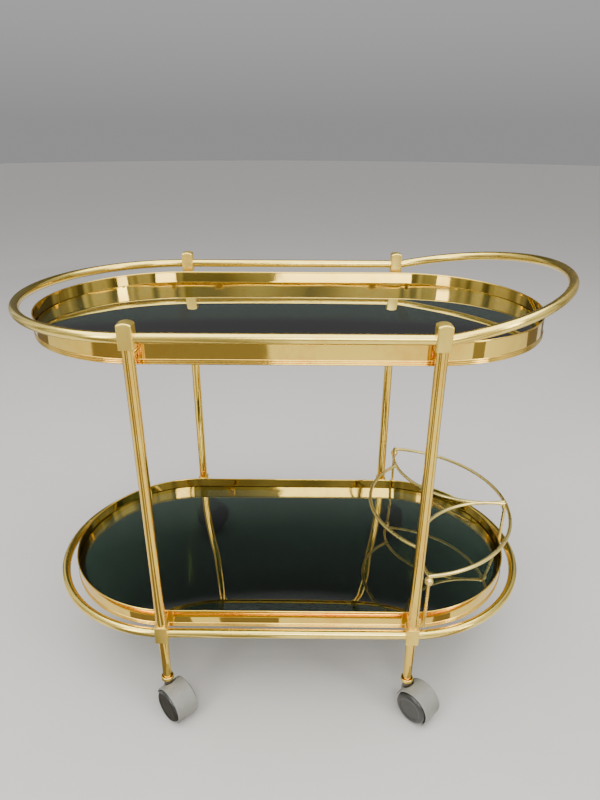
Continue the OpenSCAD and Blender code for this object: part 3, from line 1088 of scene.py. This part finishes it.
@dataclass
class Band:
    """The brass band round a tray, with three beads at its foot and a rolled upper edge."""

    shop: Workshop
    wall: float = 1.4 * MM
    bead_r: float = 1.2 * MM
    bead_proud: float = 1.1 * MM
    rim_r: float = 1.2 * MM
    ledge_w: float = 9 * MM
    ledge_top: float = 7 * MM
    ledge_t: float = 1.5 * MM
    seam_depth: float = 0.35 * MM
    seam_w: float = 0.5 * MM
    arc_steps: int = 120
    straight_steps: int = 28
    bead_count: int = 3
    bead_steps: int = 8
    rim_steps: int = 18
    toe: float = 0.2 * MM
    chamfer: float = 0.4 * MM
    seam_spot: float = -0.1
    seam_floor: float = 0.3

    def section(self, height: float) -> Outline:
        """Gives the section of the band.

        Args:
            height: Full height of the band.

        Returns:
            Points as (outward from the outer face, up from the lower edge).
        """
        r, proud = self.bead_r, self.bead_proud
        lean = math.degrees(math.acos((r - proud) / r))
        beads: Outline = []
        for k in range(self.bead_count):
            centre = (proud - r, r + 2 * k * r)
            beads += arc(centre, r, -90 if k == 0 else -lean, lean, self.bead_steps)
        rim = arc((RIM_PROUD - self.rim_r, height - self.rim_r), self.rim_r, -65, 245, self.rim_steps)
        inner, top = -self.wall, self.ledge_top
        far, under = inner - self.ledge_w, top - self.ledge_t
        return ([(far, under), (inner, under), (inner, self.toe)] + beads + rim
                + [(inner, top + self.chamfer), (inner - self.chamfer, top), (far, top)])

    def stations(self, z: float) -> list[Station]:
        """Gives the stops of the band, with a fine butt seam in the front.

        Args:
            z: Height of the lower edge.

        Returns:
            The stops, closed.
        """
        layout = self.shop.layout
        stops = stadium_stations(layout, layout.tray_r, z, self.arc_steps, self.straight_steps)
        seam_x = layout.middle_x + self.seam_spot * layout.bend_x
        floor = self.seam_floor
        out: list[Station] = []
        for k, stop in enumerate(stops):
            out.append(stop)
            following = stops[(k + 1) % len(stops)]
            if stop.place.y < 0 and stop.place.x <= seam_x < following.place.x and stop.across.x == 0:
                for dx, dent in ((-1, 0), (-floor, self.seam_depth), (floor, self.seam_depth), (1, 0)):
                    place = Vector((seam_x + dx * self.seam_w / 2, stop.place.y + dent, z))
                    out.append(Station(place, stop.across, UP))
        return out

    def build(self) -> None:
        """Builds the bands of both trays and finishes their spacers."""
        for tier in ("upper", "lower"):
            node = tier + "_band"
            lo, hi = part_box(node)
            piece = sweep("rim_" + node, self.stations(lo.z), self.section(hi.z - lo.z), closed=True)
            self.shop.deliver(piece, Finish.BAND, "frame", "polished_brass", node)
            self.shop.keep(tier + "_spacers", Finish.TUBE)


@dataclass
class TrayGlass:
    """The smoked glass of a tray: a flat sheet with a ground, rounded edge."""

    shop: Workshop
    edge: float = 1.2 * MM
    edge_steps: int = 4
    arc_steps: int = 96
    straight_steps: int = 2

    def sheet(self, node: str) -> None:
        """Builds the sheet of one tray.

        Args:
            node: The node that it stands for.
        """
        lo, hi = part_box(node)
        layout, radius, thick = self.shop.layout, hi.y, hi.z - lo.z
        rows = []
        rounding = arc((0, 0), self.edge, -90, 0, self.edge_steps)
        stops = [(dx - self.edge, dz + self.edge) for dx, dz in rounding]
        stops += [(dx, thick - dz) for dx, dz in reversed(stops)]
        for inward, dz in stops:
            ring = stadium_stations(layout, radius + inward, lo.z + dz, self.arc_steps, self.straight_steps)
            rows.append([s.place for s in ring])
        piece = finish_mesh("sheet_" + node, grid_mesh("sheet_" + node, rows, False, True), sharp_deg=50)
        self.shop.deliver(piece, Finish.GLASS, "frame", "smoked_glass", node)

    def build(self) -> None:
        """Builds both sheets."""
        self.sheet("upper_glass")
        self.sheet("lower_glass")


@dataclass
class BottleRack:
    """The wire rack on the lower tray: ring, two curved dividers, inner arc, posts and balls."""

    shop: Workshop
    divider_bow: float = 69.5 * MM
    inner_r: float = 150 * MM
    tip_half: float = 3 * MM
    stay_r: float = 2.5 * MM
    ball_r: float = 6.5 * MM
    tip_ball_r: float = 5 * MM
    neck_r: float = 3.3 * MM
    ball_bite: float = 0.5 * MM
    braze: float = 1.12
    braze_steps: int = 4
    nose_deg: float = 85
    nose_steps: int = 5
    foot_round: float = 0.8 * MM
    taper_low: float = 2.2 * MM
    taper_high: float = 1.2 * MM
    arc_steps: int = 90
    round_steps: int = 24
    turn_steps: int = 40

    def __post_init__(self) -> None:
        """Reads the ring's place and size from its node."""
        layout = self.shop.layout
        lo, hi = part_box("rack_ring")
        self.centre = Vector((layout.middle_x + layout.bend_x, 0, (lo.z + hi.z) / 2))
        self.wire_r = (hi.z - lo.z) / 2
        self.ring_r = hi.x - self.centre.x - self.wire_r
        self.sweep = math.acos((lo.x - self.centre.x) / (self.ring_r - self.wire_r))

    def wire(self, name: str, centre: Vector, radius: float, start: float, end: float, node: str) -> None:
        """Bends one wire along an arc, with a fillet of braze at both ends.

        Args:
            name: Name of the piece.
            centre: Centre of the arc.
            radius: Its radius.
            start: Angle of its start, in radians.
            end: Angle of its end.
            node: The node that it stands for.
        """
        stops = []
        for i in range(self.arc_steps + 1):
            a = start + (end - start) * i / self.arc_steps
            across = Vector((math.cos(a), math.sin(a), 0))
            near = min(i, self.arc_steps - i)
            size = 1 + (self.braze - 1) * max(0, 1 - near / self.braze_steps) ** 2
            stops.append(Station(centre + across * radius, across, UP, size))
        for cap, inner in ((0, 1), (-1, -2)):
            stops = self.round_end(stops, cap, inner)
        piece = sweep(name, stops, circle(self.wire_r, self.round_steps))
        self.shop.deliver(piece, Finish.WIRE, "frame", "rack_wire", node)

    def round_end(self, stops: list[Station], end: int, inner: int) -> list[Station]:
        """Adds a rounded nose to one end of a wire.

        Args:
            stops: The stops of the wire.
            end: Index of the end, 0 or -1.
            inner: Index of the stop beside it.

        Returns:
            The stops with the nose added.
        """
        tip, beside = stops[end], stops[inner]
        away = (tip.place - beside.place).normalized()
        nose = []
        for k in range(1, self.nose_steps + 1):
            a = math.radians(self.nose_deg * k / self.nose_steps)
            place = tip.place + away * (self.wire_r * tip.size * math.sin(a))
            nose.append(Station(place, tip.across, tip.up, tip.size * math.cos(a)))
        return list(reversed(nose)) + stops if end == 0 else stops + nose

    def divider(self, side: int) -> tuple[Vector, float, float, float]:
        """Works out the arc of one divider, from the rack's corner to its tip.

        Args:
            side: -1 for the front divider and 1 for the rear one.

        Returns:
            Its centre, radius, and the angles of its start and end.
        """
        corner = Vector((math.cos(self.sweep), math.sin(self.sweep))) * self.ring_r
        tip = Vector((math.sqrt(self.ring_r**2 - self.tip_half**2), self.tip_half))
        chord = tip - corner
        radius = (chord.length_squared / 4 + self.divider_bow**2) / (2 * self.divider_bow)
        left = Vector((-chord.y, chord.x)).normalized()
        centre = (corner + tip) / 2 + left * math.sqrt(radius**2 - chord.length_squared / 4)
        start = math.atan2(corner.y - centre.y, corner.x - centre.x)
        end = math.atan2(tip.y - centre.y, tip.x - centre.x) + 2 * math.pi
        placed = self.centre + Vector((centre.x, side * centre.y, 0))
        return placed, radius, side * start, side * end

    def inner_arc(self) -> None:
        """Builds the arc on the tray side, which ends on both dividers."""
        lo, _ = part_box("rack_inner_arc")
        centre = Vector((lo.x + self.wire_r + self.inner_r, 0, self.centre.z))
        other, radius, _, _ = self.divider(1)
        gap = (other - centre).to_2d()
        along = (self.inner_r**2 - radius**2 + gap.length_squared) / (2 * gap.length)
        offset = math.sqrt(self.inner_r**2 - along**2)
        unit = gap.normalized()
        meet = unit * along + Vector((-unit.y, unit.x)) * offset
        start = math.atan2(meet.y, meet.x)
        self.wire("wire_inner_arc", centre, self.inner_r, start, 2 * math.pi - start, "rack_inner_arc")

    def posts(self) -> None:
        """Builds the three turned posts with their balls, as one piece of separate solids."""
        lo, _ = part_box("rack_posts")
        top = self.centre.z - self.wire_r + self.ball_bite
        parts = []
        for k, angle in enumerate((-self.sweep, 0.0, self.sweep)):
            ball = self.tip_ball_r if angle == 0 else self.ball_r
            profile = self.post_profile(top - lo.z, ball)
            foot = self.centre + Vector((math.cos(angle), math.sin(angle), 0)) * self.ring_r
            foot.z = lo.z
            parts.append(turned(f"stay_{k}", profile, Matrix.Translation(foot), steps=self.turn_steps))
        joined = bmesh.new()
        for part in parts:
            joined.from_mesh(part.data)
            bpy.data.objects.remove(part)
        mesh = bpy.data.meshes.new("turned_rack_posts")
        joined.to_mesh(mesh)
        joined.free()
        piece = finish_mesh("turned_rack_posts", mesh, sharp_deg=40)
        self.shop.deliver(piece, Finish.WIRE, "frame", "rack_wire", "rack_posts")

    def post_profile(self, height: float, ball: float) -> Outline:
        """Gives the outline of a post, from its rounded foot to the top of its ball.

        Args:
            height: Full height, with the ball.
            ball: Radius of the ball.

        Returns:
            Points as (radius, height).
        """
        stay, neck = self.stay_r, self.neck_r
        join = math.degrees(math.asin(neck / ball))
        ball_z = height - ball
        under = ball_z - ball * math.cos(math.radians(join))
        foot = self.foot_round
        return ([(0.0, 0.0)] + arc((stay - foot, foot), foot, -90, 0, 4)
                + [(stay, under - self.taper_low), (neck, under - self.taper_high), (neck, under)]
                + arc((0, ball_z), ball, -90 + join, 90, 20)[1:])

    def build(self) -> None:
        """Builds the whole rack."""
        self.wire("wire_ring", self.centre, self.ring_r, -self.sweep, self.sweep, "rack_ring")
        for side, face in ((-1, "front"), (1, "rear")):
            centre, radius, start, end = self.divider(side)
            self.wire("wire_divider_" + face, centre, radius, start, end, "rack_divider_" + face)
        self.inner_arc()
        self.posts()


@dataclass
class Caster:
    """One twin-wheel caster: stem, moulded hood, axle and two domed wheels."""

    shop: Workshop
    corner: str
    hood_mesh: bpy.types.Mesh
    rim_round: float = 6.0 * MM
    tread_round: float = 1.5 * MM
    dish: float = 0.9 * MM
    rim_w: float = 4.2 * MM
    lip_share: float = 0.3
    slope_share: float = 0.6
    core_share: float = 0.5
    bulge: float = 0.35 * MM
    face_steps: int = 6
    cover: float = 3 * MM
    bore_r: float = 2.55 * MM
    stem_r: float = 4 * MM
    stem_ease: float = 0.5 * MM
    seat_gap: float = 0.3 * MM
    # Heights on the stem are measured down from its seat.
    flange_low: float = 10.5 * MM
    washer_low: float = 5.2 * MM
    washer_high: float = 2.7 * MM
    washer_r: float = 6.2 * MM
    washer_edge: tuple[tuple[float, float], ...] = (
        (-0.3 * MM, 5.0 * MM), (0.0, 4.6 * MM), (0.0, 3.2 * MM), (-0.3 * MM, 2.9 * MM))

    def __post_init__(self) -> None:
        """Works out which way the caster points from its axle."""
        lo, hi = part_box("axle_" + self.corner)
        axis = self.shop.layout.post_axis(self.corner)
        self.hub = (lo + hi) / 2
        ahead = Vector((self.hub.x - axis.x, self.hub.y - axis.y, 0)).normalized()
        self.turn = Matrix.Translation(axis) @ Matrix.Rotation(math.atan2(ahead.y, ahead.x), 4, "Z")
        self.side_way = UP.cross(ahead)

    def stem(self) -> None:
        """Builds the stem with its shoulder and washer."""
        lo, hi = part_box("stem_" + self.corner)
        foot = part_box("foot_" + self.corner)[0].z
        r, ease, flange = self.stem_r, self.stem_ease, (hi.x - lo.x) / 2
        seat = foot - self.seat_gap
        washer = [(self.washer_r + out, seat - down) for out, down in self.washer_edge]
        profile = [(0.0, lo.z), (r - ease, lo.z), (r, lo.z + ease), (r, seat - self.flange_low),
                   (flange, seat - self.flange_low), (flange, seat - self.washer_low), *washer,
                   (flange, seat - self.washer_high), (flange, seat), (r, seat),
                   (r, hi.z - ease), (r - ease, hi.z), (0.0, hi.z)]
        axis = self.shop.layout.post_axis(self.corner)
        piece = turned("stem_turned_" + self.corner, profile, Matrix.Translation(axis), steps=48)
        self.shop.deliver(piece, Finish.STEM, "caster_" + self.corner, "steel", "stem_" + self.corner)

    def hood(self) -> None:
        """Places a copy of the moulded hood."""
        mesh = self.hood_mesh.copy()
        mesh.transform(self.turn)
        piece = finish_mesh("hood_moulded_" + self.corner, mesh, sharp_deg=60)
        node = "hood_" + self.corner
        self.shop.deliver(piece, Finish.HOOD, "caster_" + self.corner, "caster_plastic", node)

    def wheel_profile(self, radius: float, width: float) -> Outline:
        """Gives the outline of a wheel, from its bore round the tread to its dished face.

        Args:
            radius: Radius of the tread.
            width: Width from the inner face to the rim.

        Returns:
            Points as (radius, distance from the inner face), closed.
        """
        round_r, tread, n = self.rim_round, self.tread_round, self.face_steps
        flat_r = radius - round_r - self.rim_w * self.lip_share
        well_r = flat_r - self.rim_w * self.slope_share
        floor = width - self.dish
        shoulder = [(well_r + (flat_r - well_r) * (1 - k / n),
                     floor + self.dish * (0.5 + 0.5 * math.cos(math.pi * k / n))) for k in range(n + 1)]
        dome = [(well_r * (1 - k / n), floor + self.bulge * (1 - (1 - k / n) ** 2)) for k in range(1, n + 1)]
        return ([(self.bore_r, 0.0), (radius * self.core_share, 0.0)]
                + arc((radius - tread, tread), tread, -90, 0, 6)
                + arc((radius - round_r, width - round_r), round_r, 0, 90, 10)
                + shoulder + dome
                + [(0.0, width - self.cover), (self.bore_r, width - self.cover)])

    def wheels(self) -> None:
        """Builds both wheels on the axle."""
        for letter in "ab":
            node = f"wheel_{self.corner}_{letter}"
            lo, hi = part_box(node)
            radius = (hi.z - lo.z) / 2
            middle = (lo + hi) / 2 - self.hub
            side = 1 if middle.dot(self.side_way) > 0 else -1
            width = ((hi.x - lo.x) - 2 * radius * abs(self.side_way.y)) / abs(self.side_way.x)
            inner = middle.length - width / 2
            out = self.side_way * side
            level = out.orthogonal().normalized()
            axes = Matrix((level, out.cross(level), out)).transposed().to_4x4()
            place = Matrix.Translation(self.hub + out * inner) @ axes
            piece = turned("disc_" + node, self.wheel_profile(radius, width), place, closed=True)
            self.shop.deliver(piece, Finish.WHEEL, f"roller_{self.corner}_{letter}", "wheel_plastic", node)

    def build(self) -> None:
        """Builds the whole caster."""
        self.stem()
        self.hood()
        self.wheels()
        self.shop.keep("axle_" + self.corner, Finish.STEEL)


@dataclass(frozen=True)
class HoodShape:
    """Sizes of the moulded hood in a caster's own frame: stem axis at the origin, ahead is +X."""

    trail: float
    hub_z: float
    outer_r: float
    half_width: float
    deck_z: float
    wall: float = 2.2 * MM
    web_half: float = 10.2 * MM
    hub_r: float = 8 * MM
    notch_r: float = 11 * MM
    boss_r: float = 7 * MM
    boss_h: float = 14 * MM
    stem_r: float = 4 * MM
    bore_r: float = 2.6 * MM
    side_round: float = 1.6 * MM
    inner_ease: float = 0.4 * MM
    core_r: float = 0.5 * MM
    turn_steps: int = 72
    notch_h: float = 40 * MM
    bore_low: float = 12 * MM
    bore_high: float = 20 * MM
    bore_reach: float = 30 * MM
    cut_reach: float = 60 * MM
    cut_tall: float = 40 * MM
    start_deg: float = -40
    end_deg: float = 166
    voxel: float = 0.55 * MM
    passes: int = 6
    keep: float = 0.45

    def barrel(self) -> bpy.types.Object:
        """Sweeps the hood's T-shaped section about the wheel axis.

        Returns:
            The open-ended barrel with the web between the wheels.
        """
        outer, inner, half = self.outer_r, self.outer_r - self.wall, self.half_width
        edge, web, ease, core = self.side_round, self.web_half, self.inner_ease, self.core_r
        section = [(core, web), (inner, web), (inner, half - ease), (inner + ease, half)]
        section += arc((outer - edge, half - edge), edge, 90, 0, 5)
        section += arc((outer - edge, -half + edge), edge, 0, -90, 5)
        section += [(inner + ease, -half), (inner, -half + ease), (inner, -web), (core, -web)]
        hub = Vector((self.trail, 0, self.hub_z))
        stops = []
        for i in range(self.turn_steps + 1):
            a = math.radians(self.start_deg + (self.end_deg - self.start_deg) * i / self.turn_steps)
            stops.append(Station(hub, Vector((math.cos(a), 0, math.sin(a))), Vector((0, 1, 0))))
        return sweep("hood_barrel", stops, section)

    def rod(self, name: str, radius: float, start: Vector, end: Vector) -> bpy.types.Object:
        """Makes a plain cylinder between two points, for cutting or joining.

        Args:
            name: Name of the cylinder.
            radius: Its radius.
            start: Middle of one end.
            end: Middle of the other end.

        Returns:
            The cylinder.
        """
        along = end - start
        turn = along.to_track_quat("Z", "Y").to_matrix().to_4x4()
        profile = [(0.0, 0.0), (radius, 0.0), (radius, along.length), (0.0, along.length)]
        return turned(name, profile, Matrix.Translation(start) @ turn, steps=64)

    def slab(self, name: str, deck: Vector) -> bpy.types.Object:
        """Makes a block behind the stem and above the deck, for cutting.

        Args:
            name: Name of the block.
            deck: Where the stem's axis crosses the deck.

        Returns:
            The block.
        """
        reach, tall = self.cut_reach, self.cut_tall
        section = [(-reach, 0.0), (reach, 0.0), (reach, tall), (-reach, tall)]
        stops = [Station(deck + Vector((x, 0, 0)), Vector((0, 1, 0)), UP) for x in (-reach, 0.0)]
        return sweep(name, stops, section)

    def mesh(self) -> bpy.types.Mesh:
        """Builds the hood with its hub, stem boss, notch and bores.

        Returns:
            The softened mesh.
        """
        hub = Vector((self.trail, 0, self.hub_z))
        side, deck = Vector((0, 1, 0)), UP * self.deck_z
        joined = [
            self.rod("hub", self.hub_r, hub - side * self.web_half, hub + side * self.web_half),
            self.rod("boss", self.boss_r, deck - UP * self.boss_h, deck),
        ]
        cuts = [
            self.slab("deck_cut", deck),
            self.rod("notch", self.notch_r, deck, deck + UP * self.notch_h),
            self.rod("stem_bore", self.stem_r, deck - UP * self.bore_low, deck + UP * self.bore_high),
            self.rod("axle_bore", self.bore_r, hub - side * self.bore_reach, hub + side * self.bore_reach),
        ]
        return moulded(self.barrel(), cuts, joined, self.voxel, self.passes, self.keep)


def read_hood(layout: Layout) -> HoodShape:
    """Reads the hood's main sizes from the nodes of one caster.

    Args:
        layout: Where the posts are.

    Returns:
        The shape that all four hoods share.
    """
    side_gap, deck_drop = 3.0 * MM, 11 * MM
    corner = CORNERS[0]
    wheel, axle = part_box(f"wheel_{corner}_a"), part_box("axle_" + corner)
    hub = (axle[0] + axle[1]) / 2
    axis = layout.post_axis(corner)
    stem_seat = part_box("foot_" + corner)[0].z
    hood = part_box("hood_" + corner)
    outer = hood[1].z - hub.z
    pair = [(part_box(f"wheel_{corner}_{k}")[0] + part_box(f"wheel_{corner}_{k}")[1]) / 2 for k in "ab"]
    radius = (wheel[1].z - wheel[0].z) / 2
    width = ((wheel[1].x - wheel[0].x) / math.cos(REST_TURN)) - 2 * radius
    half = (pair[0] - pair[1]).length / 2 + width / 2
    return HoodShape(trail=(hub - axis).to_2d().length, hub_z=hub.z, outer_r=outer,
                     half_width=half - side_gap, deck_z=stem_seat - deck_drop)


# ------------------------------------------------------------------ studio


RampStops = tuple[tuple[float, float], ...]


def place_mesh(name: str, bm: bmesh.types.BMesh) -> bpy.types.Object:
    """Turns a filled mesh builder into an object of the scene.

    Args:
        name: Name of the object.
        bm: The builder, which is freed.

    Returns:
        The object.
    """
    mesh = bpy.data.meshes.new(name)
    bm.to_mesh(mesh)
    bm.free()
    piece = bpy.data.objects.new(name, mesh)
    bpy.context.scene.collection.objects.link(piece)
    return piece


@dataclass(frozen=True)
class Softbox:
    """A large, soft lamp that looks at one point."""

    name: str
    place: tuple[float, float, float]
    target: tuple[float, float, float]
    size: tuple[float, float]
    power: float
    tint: Colour = (1.0, 1.0, 1.0)

    def build(self) -> None:
        """Hangs the lamp in the scene."""
        lamp = bpy.data.lights.new(self.name, "AREA")
        lamp.shape = "RECTANGLE"
        lamp.size, lamp.size_y = self.size
        lamp.energy = self.power
        lamp.color = self.tint
        holder = bpy.data.objects.new(self.name, lamp)
        holder.location = self.place
        look = Vector(self.target) - Vector(self.place)
        holder.rotation_mode = "QUATERNION"
        holder.rotation_quaternion = look.to_track_quat("-Z", "Y")
        holder.visible_camera = False
        bpy.context.scene.collection.objects.link(holder)


@dataclass(frozen=True)
class Flags:
    """Dark cards round the trolley that only polished metal sees, as wedges just over the floor."""

    count: int = 7
    share: float = 0.36
    near_r: float = 0.28
    far_r: float = 3.2
    lift: float = 4 * MM
    steps: int = 6
    width_swing: float = 0.45
    spot_swing: float = 0.22
    colour: Colour = (0.11, 0.095, 0.08)
    rough: float = 0.9

    def build(self) -> None:
        """Lays the cards and hides them from everything but reflections."""
        bm = bmesh.new()
        pitch = 2 * math.pi / self.count
        for k in range(self.count):
            width = pitch * self.share * (1 + self.width_swing * math.sin(5.0 * k))
            start = pitch * (k + self.spot_swing * math.cos(3.0 * k))
            turns = [start + width * i / self.steps for i in range(self.steps + 1)]
            near, far = ([bm.verts.new((r * math.cos(a), r * math.sin(a), self.lift)) for a in turns]
                         for r in (self.near_r, self.far_r))
            for i in range(self.steps):
                bm.faces.new((near[i], far[i], far[i + 1], near[i + 1]))
        piece = place_mesh("flags", bm)
        material, _, shader = blank_material("black_card")
        shader.inputs["Base Color"].default_value = rgba(self.colour)
        shader.inputs["Roughness"].default_value = self.rough
        piece.data.materials.append(material)
        piece.visible_camera = False
        piece.visible_diffuse = False
        piece.visible_transmission = False
        piece.visible_shadow = False


@dataclass
class Studio:
    """A pale floor, soft light and the camera."""

    floor_r: float = 14.0
    floor_core: float = 2.0
    floor_steps: int = 64
    floor_colour: Colour = (0.60, 0.585, 0.56)
    floor_shade: float = 0.96
    camera_place: tuple[float, float, float] = (0.01776, -0.85181, 0.81527)
    pitch_deg: float = 24.742
    yaw_deg: float = -0.337
    roll_deg: float = 0.242
    lens: float = 27.212
    sensor: float = 36.0
    front_ramp: RampStops = ((0.0, 0.45), (0.25, 0.64), (0.6, 0.82), (1.0, 1.0))
    back_ramp: RampStops = ((0.0, 0.08), (0.42, 0.14), (0.56, 0.05), (0.76, 0.05), (0.88, 0.9), (1.0, 1.0))
    wall_ramp: RampStops = ((0.0, 0.30), (0.12, 0.40), (0.4, 0.55))
    boxes: tuple[Softbox, ...] = (
        Softbox("overhead", (0, -0.3, 2.2), (0, 0, 0.3), (3.6, 2.3), 80),
        Softbox("front_left", (-1.7, -2.2, 1.6), (0, 0, 0.4), (0.7, 1.5), 26, (1.0, 0.98, 0.94)),
        Softbox("front", (0.35, -2.9, 1.9), (0, 0, 0.5), (1.1, 1.0), 34, (1.0, 0.98, 0.95)),
        Softbox("front_right", (2.2, -1.6, 1.3), (0, 0, 0.4), (0.5, 1.6), 22, (1.0, 0.97, 0.92)),
    )

    def floor(self) -> None:
        """Lays a round pale floor, which isn't part of the trolley."""
        bm = bmesh.new()
        turns = [2 * math.pi * k / self.floor_steps for k in range(self.floor_steps)]
        outer, inner = ([bm.verts.new((r * math.cos(a), r * math.sin(a), 0)) for a in turns]
                        for r in (self.floor_r, self.floor_core))
        for k in range(self.floor_steps):
            j = (k + 1) % self.floor_steps
            bm.faces.new((outer[k], outer[j], inner[j], inner[k]))
        bm.faces.new(inner)
        piece = place_mesh("floor", bm)
        material, nodes, shader = blank_material("pale_floor")
        spots = nodes.add("ShaderNodeTexCoord")
        cloud = nodes.noise(spots.outputs["Object"], scale=3.0, detail=4.0)
        shade = tuple(c * self.floor_shade for c in self.floor_colour)
        mixed = nodes.blend(cloud, rgba(self.floor_colour), rgba(shade))
        nodes.tree.links.new(mixed, shader.inputs["Base Color"])
        shader.inputs["Roughness"].default_value = 0.55
        shader.inputs["Specular IOR Level"].default_value = 0.3
        piece.data.materials.append(material)

    def ramp(self, nodes: Nodes, value: bpy.types.NodeSocket, stops: RampStops) -> bpy.types.NodeSocket:
        """Adds a grey ramp.

        Args:
            nodes: The tree's node helper.
            value: What the ramp follows.
            stops: Pairs of position and level.

        Returns:
            The level.
        """
        node = nodes.add("ShaderNodeValToRGB", {"Fac": value})
        bar = node.color_ramp
        while len(bar.elements) < len(stops):
            bar.elements.new(0.5)
        for element, (spot, level) in zip(bar.elements, stops):
            element.position = spot
            element.color = (level, level, level, 1.0)
        return node.outputs["Color"]

    def sky(self) -> None:
        """Surrounds the trolley with a bright room whose far wall, behind the trolley, is dark."""
        world = bpy.data.worlds.new("studio")
        world.use_nodes = True
        bpy.context.scene.world = world
        nodes = Nodes(world.node_tree)
        background = next(n for n in world.node_tree.nodes if n.type == "BACKGROUND")
        spots = nodes.add("ShaderNodeTexCoord").outputs["Generated"]
        way = nodes.add("ShaderNodeSeparateXYZ", {"Vector": spots})
        front = self.ramp(nodes, way.outputs["Z"], self.front_ramp)
        back = self.ramp(nodes, way.outputs["Z"], self.back_ramp)
        turn = nodes.maths("MULTIPLY", nodes.maths("ARCTAN2", way.outputs["X"], way.outputs["Y"]), 2.6)
        look = {"W": turn, "Scale": 1.0, "Detail": 2.0}
        bands = nodes.add("ShaderNodeTexNoise", look, noise_dimensions="1D")
        stripes = nodes.ranged(bands.outputs["Fac"], (0.40, 0.56), (0.25, 1.35))
        high = nodes.ranged(way.outputs["Z"], (0.5, 0.9), (0.0, 1.0))
        even = nodes.blend(high, stripes, (1.0, 1.0, 1.0, 1.0))
        sideways = nodes.maths("MULTIPLY", nodes.maths("ABSOLUTE", way.outputs["X"]), 0.9)
        behind = nodes.ranged(nodes.maths("SUBTRACT", way.outputs["Y"], sideways), (0.0, 0.25), (0.0, 1.0))
        striped = nodes.add("ShaderNodeMix", {"Factor": 1.0}, data_type="RGBA", blend_type="MULTIPLY")
        nodes.tree.links.new(front, striped.inputs[6])
        nodes.tree.links.new(even, striped.inputs[7])
        level = nodes.blend(behind, striped.outputs[2], back)
        seen = nodes.add("ShaderNodeLightPath").outputs["Is Camera Ray"]
        wall = self.ramp(nodes, way.outputs["Z"], self.wall_ramp)
        colour = nodes.blend(seen, level, wall)
        nodes.tree.links.new(colour, background.inputs["Color"])

    def camera(self) -> None:
        """Sets the camera, which looks a little down on the trolley's long side."""
        pitch, yaw, roll = (math.radians(a) for a in (self.pitch_deg, self.yaw_deg, self.roll_deg))
        ahead = Vector((math.sin(yaw) * math.cos(pitch), math.cos(yaw) * math.cos(pitch), -math.sin(pitch)))
        level = Vector((math.cos(yaw), -math.sin(yaw), 0))
        upright = level.cross(ahead)
        right = level * math.cos(roll) + upright * math.sin(roll)
        up = upright * math.cos(roll) - level * math.sin(roll)
        data = bpy.data.cameras.new("camera")
        data.sensor_width, data.lens = self.sensor, self.lens
        holder = bpy.data.objects.new("camera", data)
        bpy.context.scene.collection.objects.link(holder)
        turn = Matrix((right, up, -ahead)).transposed().to_4x4()
        holder.matrix_world = Matrix.Translation(self.camera_place) @ turn
        bpy.context.scene.camera = holder

    def build(self) -> None:
        """Sets up floor, surroundings, lamps and camera."""
        self.camera()
        self.floor()
        Flags().build()
        self.sky()
        for box in self.boxes:
            box.build()


def main() -> None:
    """Builds every sub-assembly of the trolley in order."""
    logging.basicConfig(level=logging.INFO, format="%(name)s: %(message)s")
    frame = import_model()
    Studio().build()
    shop = Workshop(Layout.read(), Wardrobe(), frame["nodes"])
    Rails(shop).build()
    Posts(shop).build()
    Band(shop).build()
    TrayGlass(shop).build()
    BottleRack(shop).build()
    hood_mesh = read_hood(shop.layout).mesh()
    for corner in CORNERS:
        Caster(shop, corner, hood_mesh).build()


if __name__ == "__main__":
    main()
